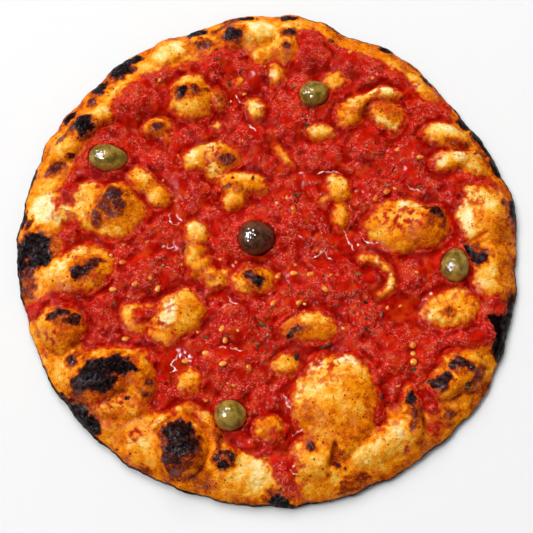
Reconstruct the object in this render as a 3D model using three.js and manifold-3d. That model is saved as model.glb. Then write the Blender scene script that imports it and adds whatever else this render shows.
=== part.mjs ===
// A round tomato focaccia, baked directly on a hot floor: a flat loaf about 300 mm across, blistered all
// over, with crushed tomato lying between the blisters, five small olives pressed into it, and tomato
// seeds and oregano on the sauce.
//
// Millimetres, +Z up. The origin is the middle of the flat underside, and -Y is the front. Places in the
// lists below are measured from a point a few millimetres in front of it.
//
// The loaf's top is a height over the plan: a low crumb, a rim that rounds down to the edge, and domes
// for the blisters. The sauce is a skin over that height, thick in the hollows, which stops where a
// blister or the rim stands bare.
import * as THREE from "three";
import { mergeVertices } from "three/addons/utils/BufferGeometryUtils.js";
import Module from "manifold-3d";

const wasm = await Module();
wasm.setup();

// ---------- driving dimensions ----------

const CRUMB_HEIGHT = 10.5; // top of the crumb between the blisters
const RIM_RISE = 3.5; // how far the rim stands above the crumb
const RIM_INSET = 20; // from the edge to the crest of the rim
const RIM_WIDTH = 13; // half the width of that crest
const EDGE_BAND = 17; // the outer band that rounds down to the edge
const EDGE_HEIGHT = 2.4; // height of the outermost line above the underside
const EDGE_ROUNDNESS = 0.5; // the band is an arc: lower is a squarer shoulder, higher a flatter one
const HEEL_INSET = 1.2; // how far the lower edge turns in below the outermost line
const HEEL_HEIGHT = 0.8; // where it does so
const FLAT_INSET = 5; // from the edge to where the underside lies flat
const DOME_SPREAD = 1.12; // a blister's foot against the part of it that shows
const DOME_POWER = 0.8; // 1 is a parabola: lower is flatter on top and steeper at the foot
const BLEND = 4; // how sharply neighbouring domes join
const SAUCE_DEPTH = 2.6; // in the hollows
const SAUCE_SLOPE = 0.42; // depth gained per millimetre from the sauce's edge
const SAUCE_UNDERCUT = -3; // how far the sauce's surface dives where the loaf is bare
const GAP = 0.3; // clearance between neighbouring pieces
const WAVE = 0.6; // height of the crumb's slow waves
const WAVE_LENGTHS = [[11, 17], [-23, 9]]; // their lengths over 2 pi, along x and along y
// How the blisters' outlines wander: [push, length of the wave over 2 pi, phase].
const BENDS = [[1.1, 6.5, 1.3], [0.5, 3.1, 4.1]];
const BEND_SLANT = 0.6; // how far those waves lie askew

// Radius of the edge at every ten degrees, counter-clockwise from +X.
const EDGE_RADII = [
  149.6, 152.5, 151.6, 149.6, 148, 150.8, 152, 149.6, 153.8, 153.2, 152.6, 150.6, 152, 151.6, 150.3, 150, 150,
  149.5, 150, 148, 147, 147.5, 148, 148, 148.5, 147.8, 148.2, 149, 150, 150.3, 150.7, 151, 152, 152, 150.6,
  150.3,
];
// Small swellings that push the edge out: [angle, push, half width in degrees].
const EDGE_SWELLINGS = [
  [11, 1.2, 3], [60, 0.7, 4], [75, 1.5, 4], [84, 3, 4], [95, 3, 4], [108, 0.5, 3], [115, 1.2, 4], [127, 1, 4],
  [145, 2, 3], [153, 1.8, 4], [210, 1, 3], [324, 0.8, 6],
];
// Small waves of the edge: [push, number of waves around, phase].
const EDGE_RIPPLES = [[0.4, 29, 0.4], [0.35, 47, 2.1]];
// How far out the sauce reaches, at every ten degrees.
const SAUCE_REACH = [
  118, 122, 124, 126, 145, 137, 139, 137, 143, 120, 132, 127, 130, 133, 127, 126, 127, 121, 120, 118, 122,
  120, 118, 120, 111, 106, 116, 120, 118, 115, 112, 118, 120, 124, 146, 132,
];

// Blisters: [x, y, half length, half width, turn in degrees, rise, share of the dome that is bare].
const BLISTERS = {
  rim_back_pale: [-7, 141, 14, 8, -5, 4, 1.2],
  rim_back_char: [-21, 137, 9, 8, 0, 4.5, 1.2],
  rim_back_small: [-44, 136, 8, 5, 15, 3, 1.2],
  rim_back_orange: [11.5, 131, 7.5, 14, 0, 4, 1],
  rim_back_left: [-60, 127, 12, 8, 25, 3, 1.1],
  rim_left_back: [-100, 84, 8, 7, 35, 4, 1],
  back_spark: [6, 111, 6.5, 8, 0, 5, 0.9],
  back_step: [0, 123, 10, 6, 10, 2, 1],
  back_twin: [-46, 95.5, 15.5, 14.5, 0, 9.5, 1],
  back_twin_side: [-29, 96, 6, 9, 10, 6.5, 0.9],
  back_left_small: [-66, 77, 10, 7.5, 0, 6.5, 1],
  back_left_foot: [-61, 70, 5, 3.5, 0, 3, 0.9],
  back_left_faint: [-30, 79, 5, 5, 0, 3, 0.8],
  back_mid: [-6, 89, 7.5, 7.5, 0, 5.5, 0.95],
  back_faint: [-17, 108, 4.5, 4.5, 0, 2.5, 0.8],
  back_round: [42, 106, 8.5, 7, 0, 5, 0.9],
  ridge_tip: [33, 74, 9, 6, -10, 5, 0.95],
  ridge_neck: [50, 85, 11, 9, 45, 5, 0.95],
  ridge_shoulder: [57, 92, 12, 7.5, 35, 6.5, 1],
  ridge_crest: [71, 97, 12, 5, -5, 7, 1],
  ridge_front: [74, 84, 12.5, 8.5, -30, 7, 1],
  right_back_rim: [98, 102, 13, 6, -45, 2.5, 1.1],
  right_back_ridge: [108, 71, 14, 8, -10, 6.5, 1],
  right_back_fold: [112, 56, 14, 7, 10, 5.5, 0.95],
  right_back_slope: [125, 54, 11, 6, -50, 3, 1],
  left_rim_char: [-109, 78, 12, 9, 40, 6, 1.1],
  left_rim_shoulder: [-123, 64, 12, 8.5, 25, 4, 1.1],
  left_big: [-94, 24, 22, 17, -6, 8.5, 1],
  left_big_cap: [-92, 30, 15, 12, 0, 11, 1],
  left_big_lobe: [-108, 36, 9, 8, 40, 7, 1],
  left_bridge: [-120, 24, 9, 6.5, 0, 2, 1],
  left_arm: [-74, 43, 10, 8.5, -30, 6, 0.95],
  left_arm_low: [-64.5, 34, 9.5, 8.5, -50, 5, 0.95],
  centre_left_top: [-33, 57, 20, 10.5, 3, 7, 1],
  centre_left_join: [-31, 49, 8, 6, 0, 4, 1],
  centre_left_low: [-15, 41, 17, 9, -8, 7, 1],
  centre_left_tail: [-20, 34, 8, 10, 20, 6, 1],
  chain_top: [-42, 11, 8.5, 9, 0, 6.5, 1],
  chain_side: [-43, -1, 7, 9, 0, 5, 1],
  chain_bend: [-39, -10, 7, 7.5, -30, 4.5, 1],
  chain_low: [-31, -17, 9, 6.5, -20, 5, 1],
  chain_end: [-24, -13, 4, 3.5, 0, 2.5, 1],
  centre_char: [-8, -18, 13, 10.5, -10, 7.5, 1],
  middle_right: [42, 38, 9, 9.5, 15, 6, 1],
  middle_right_tail: [35, 30, 4, 5, 0, 3, 0.9],
  middle_right_low: [45, 21, 6, 9, 0, 5, 0.9],
  middle_stroke: [9, 59, 10, 4.5, -52, 3, 0.85],
  right_big: [84, 15, 26, 17, 2, 9.5, 1],
  right_big_shoulder: [96, 15, 14, 15, 0, 10.5, 1],
  right_rim_swell: [130, 22, 17, 19, -10, 5, 1],
  right_rim_low: [134, -13, 14, 17, 0, 5, 1],
  right_low: [107.5, -35.5, 18, 13, 8, 8, 1],
  left_low: [-109, -13, 20.5, 15, 28, 8.5, 1],
  left_low_round: [-119, -46, 13.5, 13.5, 0, 8.5, 1],
  gloss_bubble: [-51, -38, 15, 14.5, 35, 10, 1],
  gloss_lobe: [-77, -41, 9, 10.5, -15, 5, 1],
  gloss_join: [-67, -38, 8, 8, 0, 4, 0.95],
  gloss_foot: [-61, -51, 11, 7.5, -10, 5.5, 0.95],
  front_left_char: [-91, -73, 25, 15, 16, 10.5, 1],
  front_left_side: [-74, -78, 11, 14, 10, 7.5, 1],
  front_left_foot: [-84, -92, 15, 8, 5, 4, 1],
  front_left_ring: [-111, -65, 7, 6, 0, 3.5, 1.1],
  front_dark_dome: [-49, -114, 13.5, 17, 5, 10, 1],
  front_fold_left: [-59, -99, 8, 4, 35, 5, 1],
  front_fold_top: [-46, -95, 9, 4, 0, 5.5, 1],
  front_fold_right: [-34, -99.5, 9, 4, -40, 5.5, 1],
  front_fold_end: [-27, -107, 6, 3.5, -55, 3.5, 1],
  front_left_orange: [-45, -79, 8.5, 11, 10, 5.5, 0.9],
  front_ring: [-24, -121, 8, 7, 0, 3.5, 1.1],
  front_orange_dome: [1, -106, 9.5, 9, 0, 7, 0.95],
  big_front: [40, -90, 25.5, 29, -12, 12.5, 1],
  front_cheek: [25, -121, 12, 13, 0, 6.5, 1],
  front_small: [10, -69, 8.5, 8, 0, 5, 1],
  middle_front: [25, -47, 18, 10.5, -5, 7.5, 0.9],
  front_swell: [66, -114, 20, 10, 28, 3.5, 1.1],
  front_ridge: [84, -95, 6, 15, 5, 6.5, 1],
  front_right_knob: [103, -79, 10.5, 8, 20, 6, 1],
  front_right_back: [114, -72, 14, 11.5, -10, 6, 1],
};
// A curled fold of dough, as a row of small domes along an arc.
const CURL = { x: 61, y: -17, radius: 12, from: -50, to: 115, steps: 12, half: 4.4, rise: 5, bare: 0.8 };
for (let i = 0; i < CURL.steps; i++) {
  const at = THREE.MathUtils.degToRad(CURL.from + ((CURL.to - CURL.from) * i) / (CURL.steps - 1));
  BLISTERS["curl_" + (i + 1)] = [
    CURL.x + CURL.radius * Math.cos(at), CURL.y + CURL.radius * Math.sin(at),
    CURL.half, CURL.half, 0, CURL.rise, CURL.bare,
  ];
}

// Lumps that the sauce covers: [x, y, half length, half width, turn in degrees, rise].
const LUMPS = [
  [-81, 92, 15, 12, 0, 4], [-10, 112, 10, 10, 0, 3], [28, 124, 11, 9, 0, 3.5], [50, 117, 13, 7, 30, 3],
  [64, 114, 8, 9, 0, 2.5], [79, 110, 7, 10, 20, 2.5], [21, 16, 14, 13, 0, 4.5], [60, 66, 12, 9, 30, 4.5],
  [84, 58, 13, 12, 0, 3.5], [34, 58, 12, 9, 0, 3], [40, -20, 16, 14, 0, 4], [85, -18, 9, 11, 0, 3.5],
  [-76, -14, 14, 10, 10, 4], [-95, -38, 9, 12, 0, 3], [-20, -44, 11, 12, 0, 4], [-20, -72, 24, 13, 0, 5.5],
  [58, -38, 10, 9, 0, 2.5], [75, -62, 9, 10, 0, 3], [-2, -90, 10, 9, 0, 3], [-10, 70, 12, 9, 0, 3],
];

// Creases and pits: [x, y, half length, half width, turn in degrees, depth].
const CREASES = [
  [37.5, -120, 2.6, 8, -18, 4.5], [62, 87, 3, 6, -15, 3], [117, 64, 10, 2.4, -25, 3],
  [-25, -110, 3, 4, 20, 2.5], [91, -101, 2.4, 8, 12, 2.5], [-99, 37, 2, 6, -25, 2],
  [-51, -103, 12, 2, -5, 2.5], [126, 8, 8, 2.2, 20, 2], [-112, -28, 12, 2, 0, 2],
];

// Fingers of sauce that run out over the bare crust: [x, y, half length, half width, turn in degrees].
const FINGERS = [
  [-124, -31.5, 18, 3.4, 10], [-136, -36, 5.5, 5.5, 0], [10, -127, 14.5, 5.5, 110], [120, 43, 15, 3, -4],
  [136, -34, 6, 6, 0], [93, -89, 8, 4.5, -60], [64.5, -96, 7, 2.6, 95], [97, -103, 3, 4.2, 0],
  [-116, 41, 12, 3.6, 60], [-118, 12, 7, 3.4, 80], [-70, -38, 6, 4, 20],
];

// Olives: [x, y, half length, half width, turn in degrees].
const OLIVES = {
  olive_back: [29, 98, 9.3, 8.2, 20],
  olive_left: [-95, 57, 12, 8.2, -8],
  olive_black: [-6, 7, 11, 10.4, 0],
  olive_right: [111, -9.5, 10.2, 8.5, 80],
  olive_front: [-20.5, -98, 9.4, 9, 0],
};
const OLIVE_CENTRE = 15; // height of an olive's middle
const OLIVE_TAPER = 0.12; // how much slimmer one end is
const SOCKET_GAP = 0.4; // clearance between an olive and its socket

// Tomato seeds that show: [x, y, turn in degrees].
const SEEDS = [
  [16, 24, -65], [65, 32, 70], [72, 36, 20], [92, 57, 0], [7, -15, 60], [16, -14, 0], [26, -15, 15],
  [4, -32, 60], [19, -32, 40], [34, -25, -40], [-90, -24, 0], [-77, -21, 40], [-64, -23, 80], [-85, -7, 0],
  [-26, -48, 70], [-24, -54, 90], [-35, -62, 0], [-25, -69, 20], [-10, -71, -60], [-82, -53, 10],
  [85, -57, 90], [85, -62, 0], [85, -67, 90], [-47, -66, 0],
];
const SEED = { half_length: 1.9, half_width: 1.4, half_height: 0.8 };
const SEED_ROOM = 5; // no flake lies nearer than this to a seed

const CRUMB_SAUCE = 1.6; // seeds and flakes lie only where the sauce is this deep,
const CRUMB_CLEAR = 1.4; // and this far from an olive's middle, as a share of its radius
// The larger oregano flakes, spread by a golden-angle spiral with a seeded wobble.
const FLAKE_SPREAD = { count: 60, reach: 128, wobble: 5, seed: 7 };
const FLAKE = { half_length: 1.7, half_width: 0.8, half_height: 0.45 };

// Mesh fineness.
const INNER_RINGS = 19; // rings of the plan inside the outer band
const BAND_RINGS = 5; // rings across the outer band
const SECTORS = 6; // each ring has this many more points than the last
const OLIVE_SIDES = 12;
const OLIVE_BANDS = 8;
const SEED_SIDES = 6;
const SEED_BANDS = 4;
const CUTTER_DEPTH = 6; // how far below the underside the sauce's cutter reaches

// ---------- the height of the loaf and of the sauce ----------

const degrees = THREE.MathUtils.degToRad;
const RINGS = INNER_RINGS + BAND_RINGS;

// A smooth closed curve through values given at even steps of angle.
function around(values, angle) {
  const n = values.length;
  const at = ((((angle / (2 * Math.PI)) * n) % n) + n) % n;
  const i = Math.floor(at);
  const t = at - i;
  const [a, b, c, d] = [-1, 0, 1, 2].map((k) => values[(i + k + n) % n]);
  return b + (t / 2) * (c - a + t * (2 * a - 5 * b + 4 * c - d + t * (3 * (b - c) + d - a)));
}

function edgeRadius(angle) {
  let radius = around(EDGE_RADII, angle);
  for (const [push, waves, phase] of EDGE_RIPPLES) radius += push * Math.sin(waves * angle + phase);
  for (const [at, push, half] of EDGE_SWELLINGS) {
    const away = THREE.MathUtils.euclideanModulo(THREE.MathUtils.radToDeg(angle) - at + 180, 360) - 180;
    radius += push * Math.exp(-((away / half) ** 2));
  }
  return radius;
}

// 0 at the middle of a turned ellipse, 1 on its outline.
function within([x, y, long, wide, turn], px, py, scale = 1) {
  const c = Math.cos(degrees(turn));
  const s = Math.sin(degrees(turn));
  const [dx, dy] = [px - x, py - y];
  return Math.hypot((dx * c + dy * s) / long, (dy * c - dx * s) / wide) / scale;
}

// The point moved a little, so that outlines wander.
function bent(x, y) {
  let [bx, by] = [x, y];
  for (const [push, length, phase] of BENDS) {
    bx += push * Math.sin((y + BEND_SLANT * x) / length + phase);
    by += push * Math.sin((x - BEND_SLANT * y) / length + 2 * phase);
  }
  return [bx, by];
}

const dome = (d) => (d < 1 ? (1 - d * d) ** DOME_POWER : 0);

function loafTop(x, y) {
  const r = Math.hypot(x, y);
  const edge = edgeRadius(Math.atan2(y, x));
  const [bx, by] = bent(x, y);
  let sum = 0;
  for (const b of [...Object.values(BLISTERS), ...LUMPS]) {
    sum += (b[5] * dome(within(b, bx, by, DOME_SPREAD))) ** BLEND;
  }
  let crease = 0;
  for (const c of CREASES) crease = Math.max(crease, c[5] * dome(within(c, bx, by)));
  const rim = RIM_RISE * Math.exp(-(((r - (edge - RIM_INSET)) / RIM_WIDTH) ** 2));
  const wave = WAVE_LENGTHS.reduce((all, [along, up]) => all + WAVE * Math.sin(x / along + y / up), 0);
  const full = CRUMB_HEIGHT + rim + wave + sum ** (1 / BLEND) - crease;
  const across = Math.min(1, Math.max(0, (r - (edge - EDGE_BAND)) / EDGE_BAND));
  return EDGE_HEIGHT + (full - EDGE_HEIGHT) * (1 - across * across) ** EDGE_ROUNDNESS;
}

// Millimetres inside the sauce's edge, negative where the crust is bare.
function sauceInside(x, y) {
  let inside = around(SAUCE_REACH, Math.atan2(y, x)) - Math.hypot(x, y);
  const [bx, by] = bent(x, y);
  for (const b of Object.values(BLISTERS)) {
    inside = Math.min(inside, (within(b, bx, by, b[6]) - 1) * Math.sqrt(b[2] * b[3]) * b[6]);
  }
  for (const f of FINGERS) {
    inside = Math.max(inside, (1 - within(f, bx, by)) * Math.min(f[2], f[3]));
  }
  return inside;
}

function sauceTop(x, y) {
  const depth = Math.min(SAUCE_DEPTH, sauceInside(x, y) * SAUCE_SLOPE);
  return loafTop(x, y) + GAP + Math.max(SAUCE_UNDERCUT, depth);
}

// ---------- solids ----------

// The plan's points, ring by ring: ring k has SECTORS * k points, and the last rings close up on the edge.
function planPoints() {
  const points = [];
  for (let ring = 0; ring <= RINGS; ring++) {
    for (let i = 0; i < Math.max(1, SECTORS * ring); i++) {
      const angle = ring ? (2 * Math.PI * i) / (SECTORS * ring) : 0;
      const edge = edgeRadius(angle);
      const inner = edge - EDGE_BAND;
      const turn = ((ring - INNER_RINGS) / BAND_RINGS) * (Math.PI / 2);
      const r = ring <= INNER_RINGS ? (inner * ring) / INNER_RINGS : inner + EDGE_BAND * Math.sin(turn);
      points.push([r * Math.cos(angle), r * Math.sin(angle)]);
    }
  }
  return points;
}

// Triangles over the plan, facing up.
function planTriangles() {
  const first = (ring) => (ring ? 1 + (SECTORS * ring * (ring - 1)) / 2 : 0);
  const triangles = [];
  for (let ring = 1; ring <= RINGS; ring++) {
    const [outer, inner] = [SECTORS * ring, Math.max(1, SECTORS * (ring - 1))];
    for (let sector = 0; sector < SECTORS; sector++) {
      for (let i = 0; i < ring; i++) {
        const out = (k) => first(ring) + ((sector * ring + k) % outer);
        const into = (k) => first(ring - 1) + ((sector * (ring - 1) + k) % inner);
        triangles.push(out(i), out(i + 1), into(i));
        if (i < ring - 1) triangles.push(out(i + 1), into(i + 1), into(i));
      }
    }
  }
  return triangles;
}

const PLAN = planPoints();
const FACES = planTriangles();
const EDGE_POINTS = SECTORS * RINGS;
const EDGE_START = PLAN.length - EDGE_POINTS;

// A closed solid: the plan raised to top(x, y), rings of side points below its edge, and a flat floor.
function solidUnder(top, sideRings) {
  const vertices = PLAN.flatMap(([x, y]) => [x, y, top(x, y)]);
  const triangles = [...FACES];
  let above = EDGE_START;
  for (const [inset, height] of sideRings) {
    const start = vertices.length / 3;
    for (let i = 0; i < EDGE_POINTS; i++) {
      const [x, y] = PLAN[EDGE_START + i];
      const shrink = 1 - inset / Math.hypot(x, y);
      vertices.push(x * shrink, y * shrink, height);
    }
    for (let i = 0; i < EDGE_POINTS; i++) {
      const next = (i + 1) % EDGE_POINTS;
      triangles.push(above + i, start + i, start + next, above + i, start + next, above + next);
    }
    above = start;
  }
  const floor = sideRings.at(-1)[1];
  vertices.push(0, 0, floor);
  const middle = vertices.length / 3 - 1;
  for (let i = 0; i < EDGE_POINTS; i++) {
    triangles.push(above + ((i + 1) % EDGE_POINTS), above + i, middle);
  }
  return manifoldOf(vertices, triangles);
}

function manifoldOf(vertices, triangles) {
  return new wasm.Manifold(
    new wasm.Mesh({
      numProp: 3,
      vertProperties: new Float32Array(vertices),
      triVerts: new Uint32Array(triangles),
    }),
  );
}

// A three.js geometry as a solid.
function solidOf(geometry) {
  const plain = geometry.clone();
  plain.deleteAttribute("normal");
  plain.deleteAttribute("uv");
  const merged = mergeVertices(plain);
  return manifoldOf(merged.attributes.position.array, merged.index.array);
}

function geometryOf(solid) {
  const mesh = solid.getMesh();
  const positions = new Float32Array(mesh.numVert * 3);
  for (let i = 0; i < mesh.numVert; i++) {
    positions.set(mesh.vertProperties.subarray(i * mesh.numProp, i * mesh.numProp + 3), i * 3);
  }
  const geometry = new THREE.BufferGeometry();
  geometry.setAttribute("position", new THREE.BufferAttribute(positions, 3));
  geometry.setIndex(new THREE.BufferAttribute(mesh.triVerts, 1));
  geometry.computeVertexNormals();
  return geometry;
}

// An olive about its own middle, grown by `extra` all round: round in section, slimmer towards one end.
function oliveGeometry([x, y, long, wide, turn], extra = 0) {
  const geometry = new THREE.SphereGeometry(1, OLIVE_SIDES, OLIVE_BANDS);
  geometry.rotateZ(Math.PI / 2);
  const at = geometry.attributes.position;
  for (let i = 0; i < at.count; i++) {
    const girth = (wide + extra) * (1 - OLIVE_TAPER * at.getX(i));
    at.setXYZ(i, at.getX(i) * (long + extra), at.getY(i) * girth, at.getZ(i) * girth);
  }
  geometry.rotateZ(degrees(turn));
  geometry.translate(x, y, OLIVE_CENTRE);
  return geometry;
}

// A small lump lying on the sauce, sunk a little into it.
function crumbOn(x, y, turn, size, geometry) {
  geometry.scale(size.half_length, size.half_width, size.half_height);
  geometry.rotateZ(degrees(turn));
  geometry.translate(x, y, sauceTop(x, y) + size.half_height / 3);
  return solidOf(geometry);
}

// The same numbers each run, from 0 to 1.
function seeded(seed) {
  let state = seed;
  return () => {
    state = (state * 1664525 + 1013904223) % 4294967296;
    return state / 4294967296;
  };
}

// True where a crumb lies wholly on deep sauce, clear of the olives.
function roomAt(x, y) {
  const clear = Object.values(OLIVES).every((o) => within(o, x, y) > CRUMB_CLEAR);
  return clear && sauceInside(x, y) * SAUCE_SLOPE > CRUMB_SAUCE;
}

function crumbs() {
  const made = SEEDS.filter(([x, y]) => roomAt(x, y)).map(([x, y, turn]) =>
    crumbOn(x, y, turn, SEED, new THREE.SphereGeometry(1, SEED_SIDES, SEED_BANDS)),
  );
  const random = seeded(FLAKE_SPREAD.seed);
  const goldenAngle = Math.PI * (3 - Math.sqrt(5));
  for (let i = 0; i < FLAKE_SPREAD.count; i++) {
    const r = FLAKE_SPREAD.reach * Math.sqrt((i + 0.5) / FLAKE_SPREAD.count);
    const x = r * Math.cos(i * goldenAngle) + FLAKE_SPREAD.wobble * (random() - 0.5);
    const y = r * Math.sin(i * goldenAngle) + FLAKE_SPREAD.wobble * (random() - 0.5);
    const turn = 180 * random();
    const apart = SEEDS.every((s) => Math.hypot(x - s[0], y - s[1]) > SEED_ROOM);
    if (roomAt(x, y) && apart) made.push(crumbOn(x, y, turn, FLAKE, new THREE.OctahedronGeometry(1)));
  }
  return made;
}

const biggest = (solid) => solid.decompose().reduce((a, b) => (b.volume() > a.volume() ? b : a));

const sockets = Object.values(OLIVES).map((o) => solidOf(oliveGeometry(o, SOCKET_GAP)));
const cutSockets = (solid) => sockets.reduce((left, socket) => left.subtract(socket), solid);

const heel = [
  [HEEL_INSET, HEEL_HEIGHT],
  [FLAT_INSET, 0],
];
const loaf = cutSockets(solidUnder(loafTop, heel));

function sauceSolid() {
  const cover = solidUnder(sauceTop, [[0, -CUTTER_DEPTH / 2]]);
  const cutter = solidUnder((x, y) => loafTop(x, y) + GAP, [[0, -CUTTER_DEPTH]]);
  const skin = biggest(cutSockets(cover.subtract(cutter)));
  return biggest(crumbs().reduce((whole, crumb) => whole.add(crumb), skin));
}

// ---------- the scene graph ----------

const crust = new THREE.MeshStandardMaterial({ color: 0xe29a3c, roughness: 0.6, metalness: 0 });
const tomato = new THREE.MeshStandardMaterial({ color: 0xc02010, roughness: 0.35, metalness: 0 });
const greenOlive = new THREE.MeshStandardMaterial({ color: 0x6f6a24, roughness: 0.25, metalness: 0 });
const blackOlive = new THREE.MeshStandardMaterial({ color: 0x33201c, roughness: 0.25, metalness: 0 });

const focaccia = new THREE.Group();

function add(name, geometry, material) {
  const mesh = new THREE.Mesh(geometry, material);
  mesh.name = name;
  focaccia.add(mesh);
}

add("loaf", geometryOf(loaf), crust);
add("tomato_sauce", geometryOf(sauceSolid()), tomato);
for (const [name, olive] of Object.entries(OLIVES)) {
  add(name, oliveGeometry(olive), name === "olive_black" ? blackOlive : greenOlive);
}

const middle = new THREE.Box3().setFromObject(focaccia).getCenter(new THREE.Vector3());
focaccia.position.set(-middle.x, -middle.y, 0);

export default focaccia;
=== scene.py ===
"""The looks of a round tomato focaccia, 300 mm across: blistered golden crust with char, crushed tomato
between the blisters, five small olives, tomato seeds, and oregano.

The crust and the sauce are fine heights over the plan, worked out from the same blisters, lumps and
fingers as the solids. Sizes and places are in millimetres, measured from where the solids' outline is
drawn, and every mesh is shifted and scaled to the frame's metres as it is made.
"""
import math

import bpy
import numpy as np
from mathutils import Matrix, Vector


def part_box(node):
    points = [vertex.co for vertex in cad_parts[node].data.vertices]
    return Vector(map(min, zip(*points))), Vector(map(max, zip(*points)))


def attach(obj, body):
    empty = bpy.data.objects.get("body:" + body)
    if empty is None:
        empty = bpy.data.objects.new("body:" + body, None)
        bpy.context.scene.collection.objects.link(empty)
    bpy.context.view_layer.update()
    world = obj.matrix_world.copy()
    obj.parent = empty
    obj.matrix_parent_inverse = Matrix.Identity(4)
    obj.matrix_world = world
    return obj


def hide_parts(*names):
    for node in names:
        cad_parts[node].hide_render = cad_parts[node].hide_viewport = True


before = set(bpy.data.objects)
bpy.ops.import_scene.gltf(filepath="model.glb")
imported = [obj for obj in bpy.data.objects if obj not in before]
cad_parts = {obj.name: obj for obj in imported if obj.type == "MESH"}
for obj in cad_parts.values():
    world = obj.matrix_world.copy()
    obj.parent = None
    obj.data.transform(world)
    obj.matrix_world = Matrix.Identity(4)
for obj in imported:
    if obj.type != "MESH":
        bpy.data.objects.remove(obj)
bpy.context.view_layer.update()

MM = 0.001

# ---------- the bread's form, as in the solids ----------

CRUMB_HEIGHT = 10.5
RIM_RISE = 3.5
RIM_INSET = 20
RIM_WIDTH = 13
EDGE_BAND = 17  # over which the bread rounds down to its edge
EDGE_HEIGHT = 2.4
EDGE_ROUNDNESS = 0.5
DOME_SPREAD = 1.12
DOME_POWER = 0.8
BLEND = 4  # the higher this is, the less neighbouring domes add up
SAUCE_DEPTH = 2.6
SAUCE_SLOPE = 0.42
GAP = 0.3  # between an olive and the crust under it
WAVE = 0.6
WAVE_LENGTHS = ((11, 17), (-23, 9))  # along x and along y, over 2 pi
BENDS = ((1.1, 6.5, 1.3), (0.5, 3.1, 4.1))  # how outlines wander: push, wave length over 2 pi, phase
BEND_SLANT = 0.6

# Radius of the edge at every ten degrees from +X, with swellings at an angle: push, half width.
EDGE_RADII = [
    149.6, 152.5, 151.6, 149.6, 148, 150.8, 152, 149.6, 153.8, 153.2, 152.6, 150.6, 152, 151.6, 150.3, 150,
    150, 149.5, 150, 148, 147, 147.5, 148, 148, 148.5, 147.8, 148.2, 149, 150, 150.3, 150.7, 151, 152, 152,
    150.6, 150.3,
]
EDGE_SWELLINGS = [
    (11, 1.2, 3), (60, 0.7, 4), (75, 1.5, 4), (84, 3, 4), (95, 3, 4), (108, 0.5, 3), (115, 1.2, 4),
    (127, 1, 4), (145, 2, 3), (153, 1.8, 4), (210, 1, 3), (324, 0.8, 6),
]
# Ripples of the edge: push, number of waves around, phase. The last three are finer than the solids'.
EDGE_RIPPLES = [(0.4, 29, 0.4), (0.35, 47, 2.1), (0.1, 83, 3.3), (0.1, 127, 1.0), (0.1, 211, 5.2)]
# How far out the sauce reaches, at every ten degrees from +X.
SAUCE_REACH = [
    118, 122, 124, 126, 145, 137, 139, 137, 143, 120, 132, 127, 130, 133, 127, 126, 127, 121, 120, 118, 122,
    120, 118, 120, 111, 106, 116, 120, 118, 115, 112, 118, 120, 124, 146, 132,
]

# Columns of the lists below, which all start with x and y.
LONG, WIDE, RISE, BARE = 2, 3, 5, 6

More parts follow.
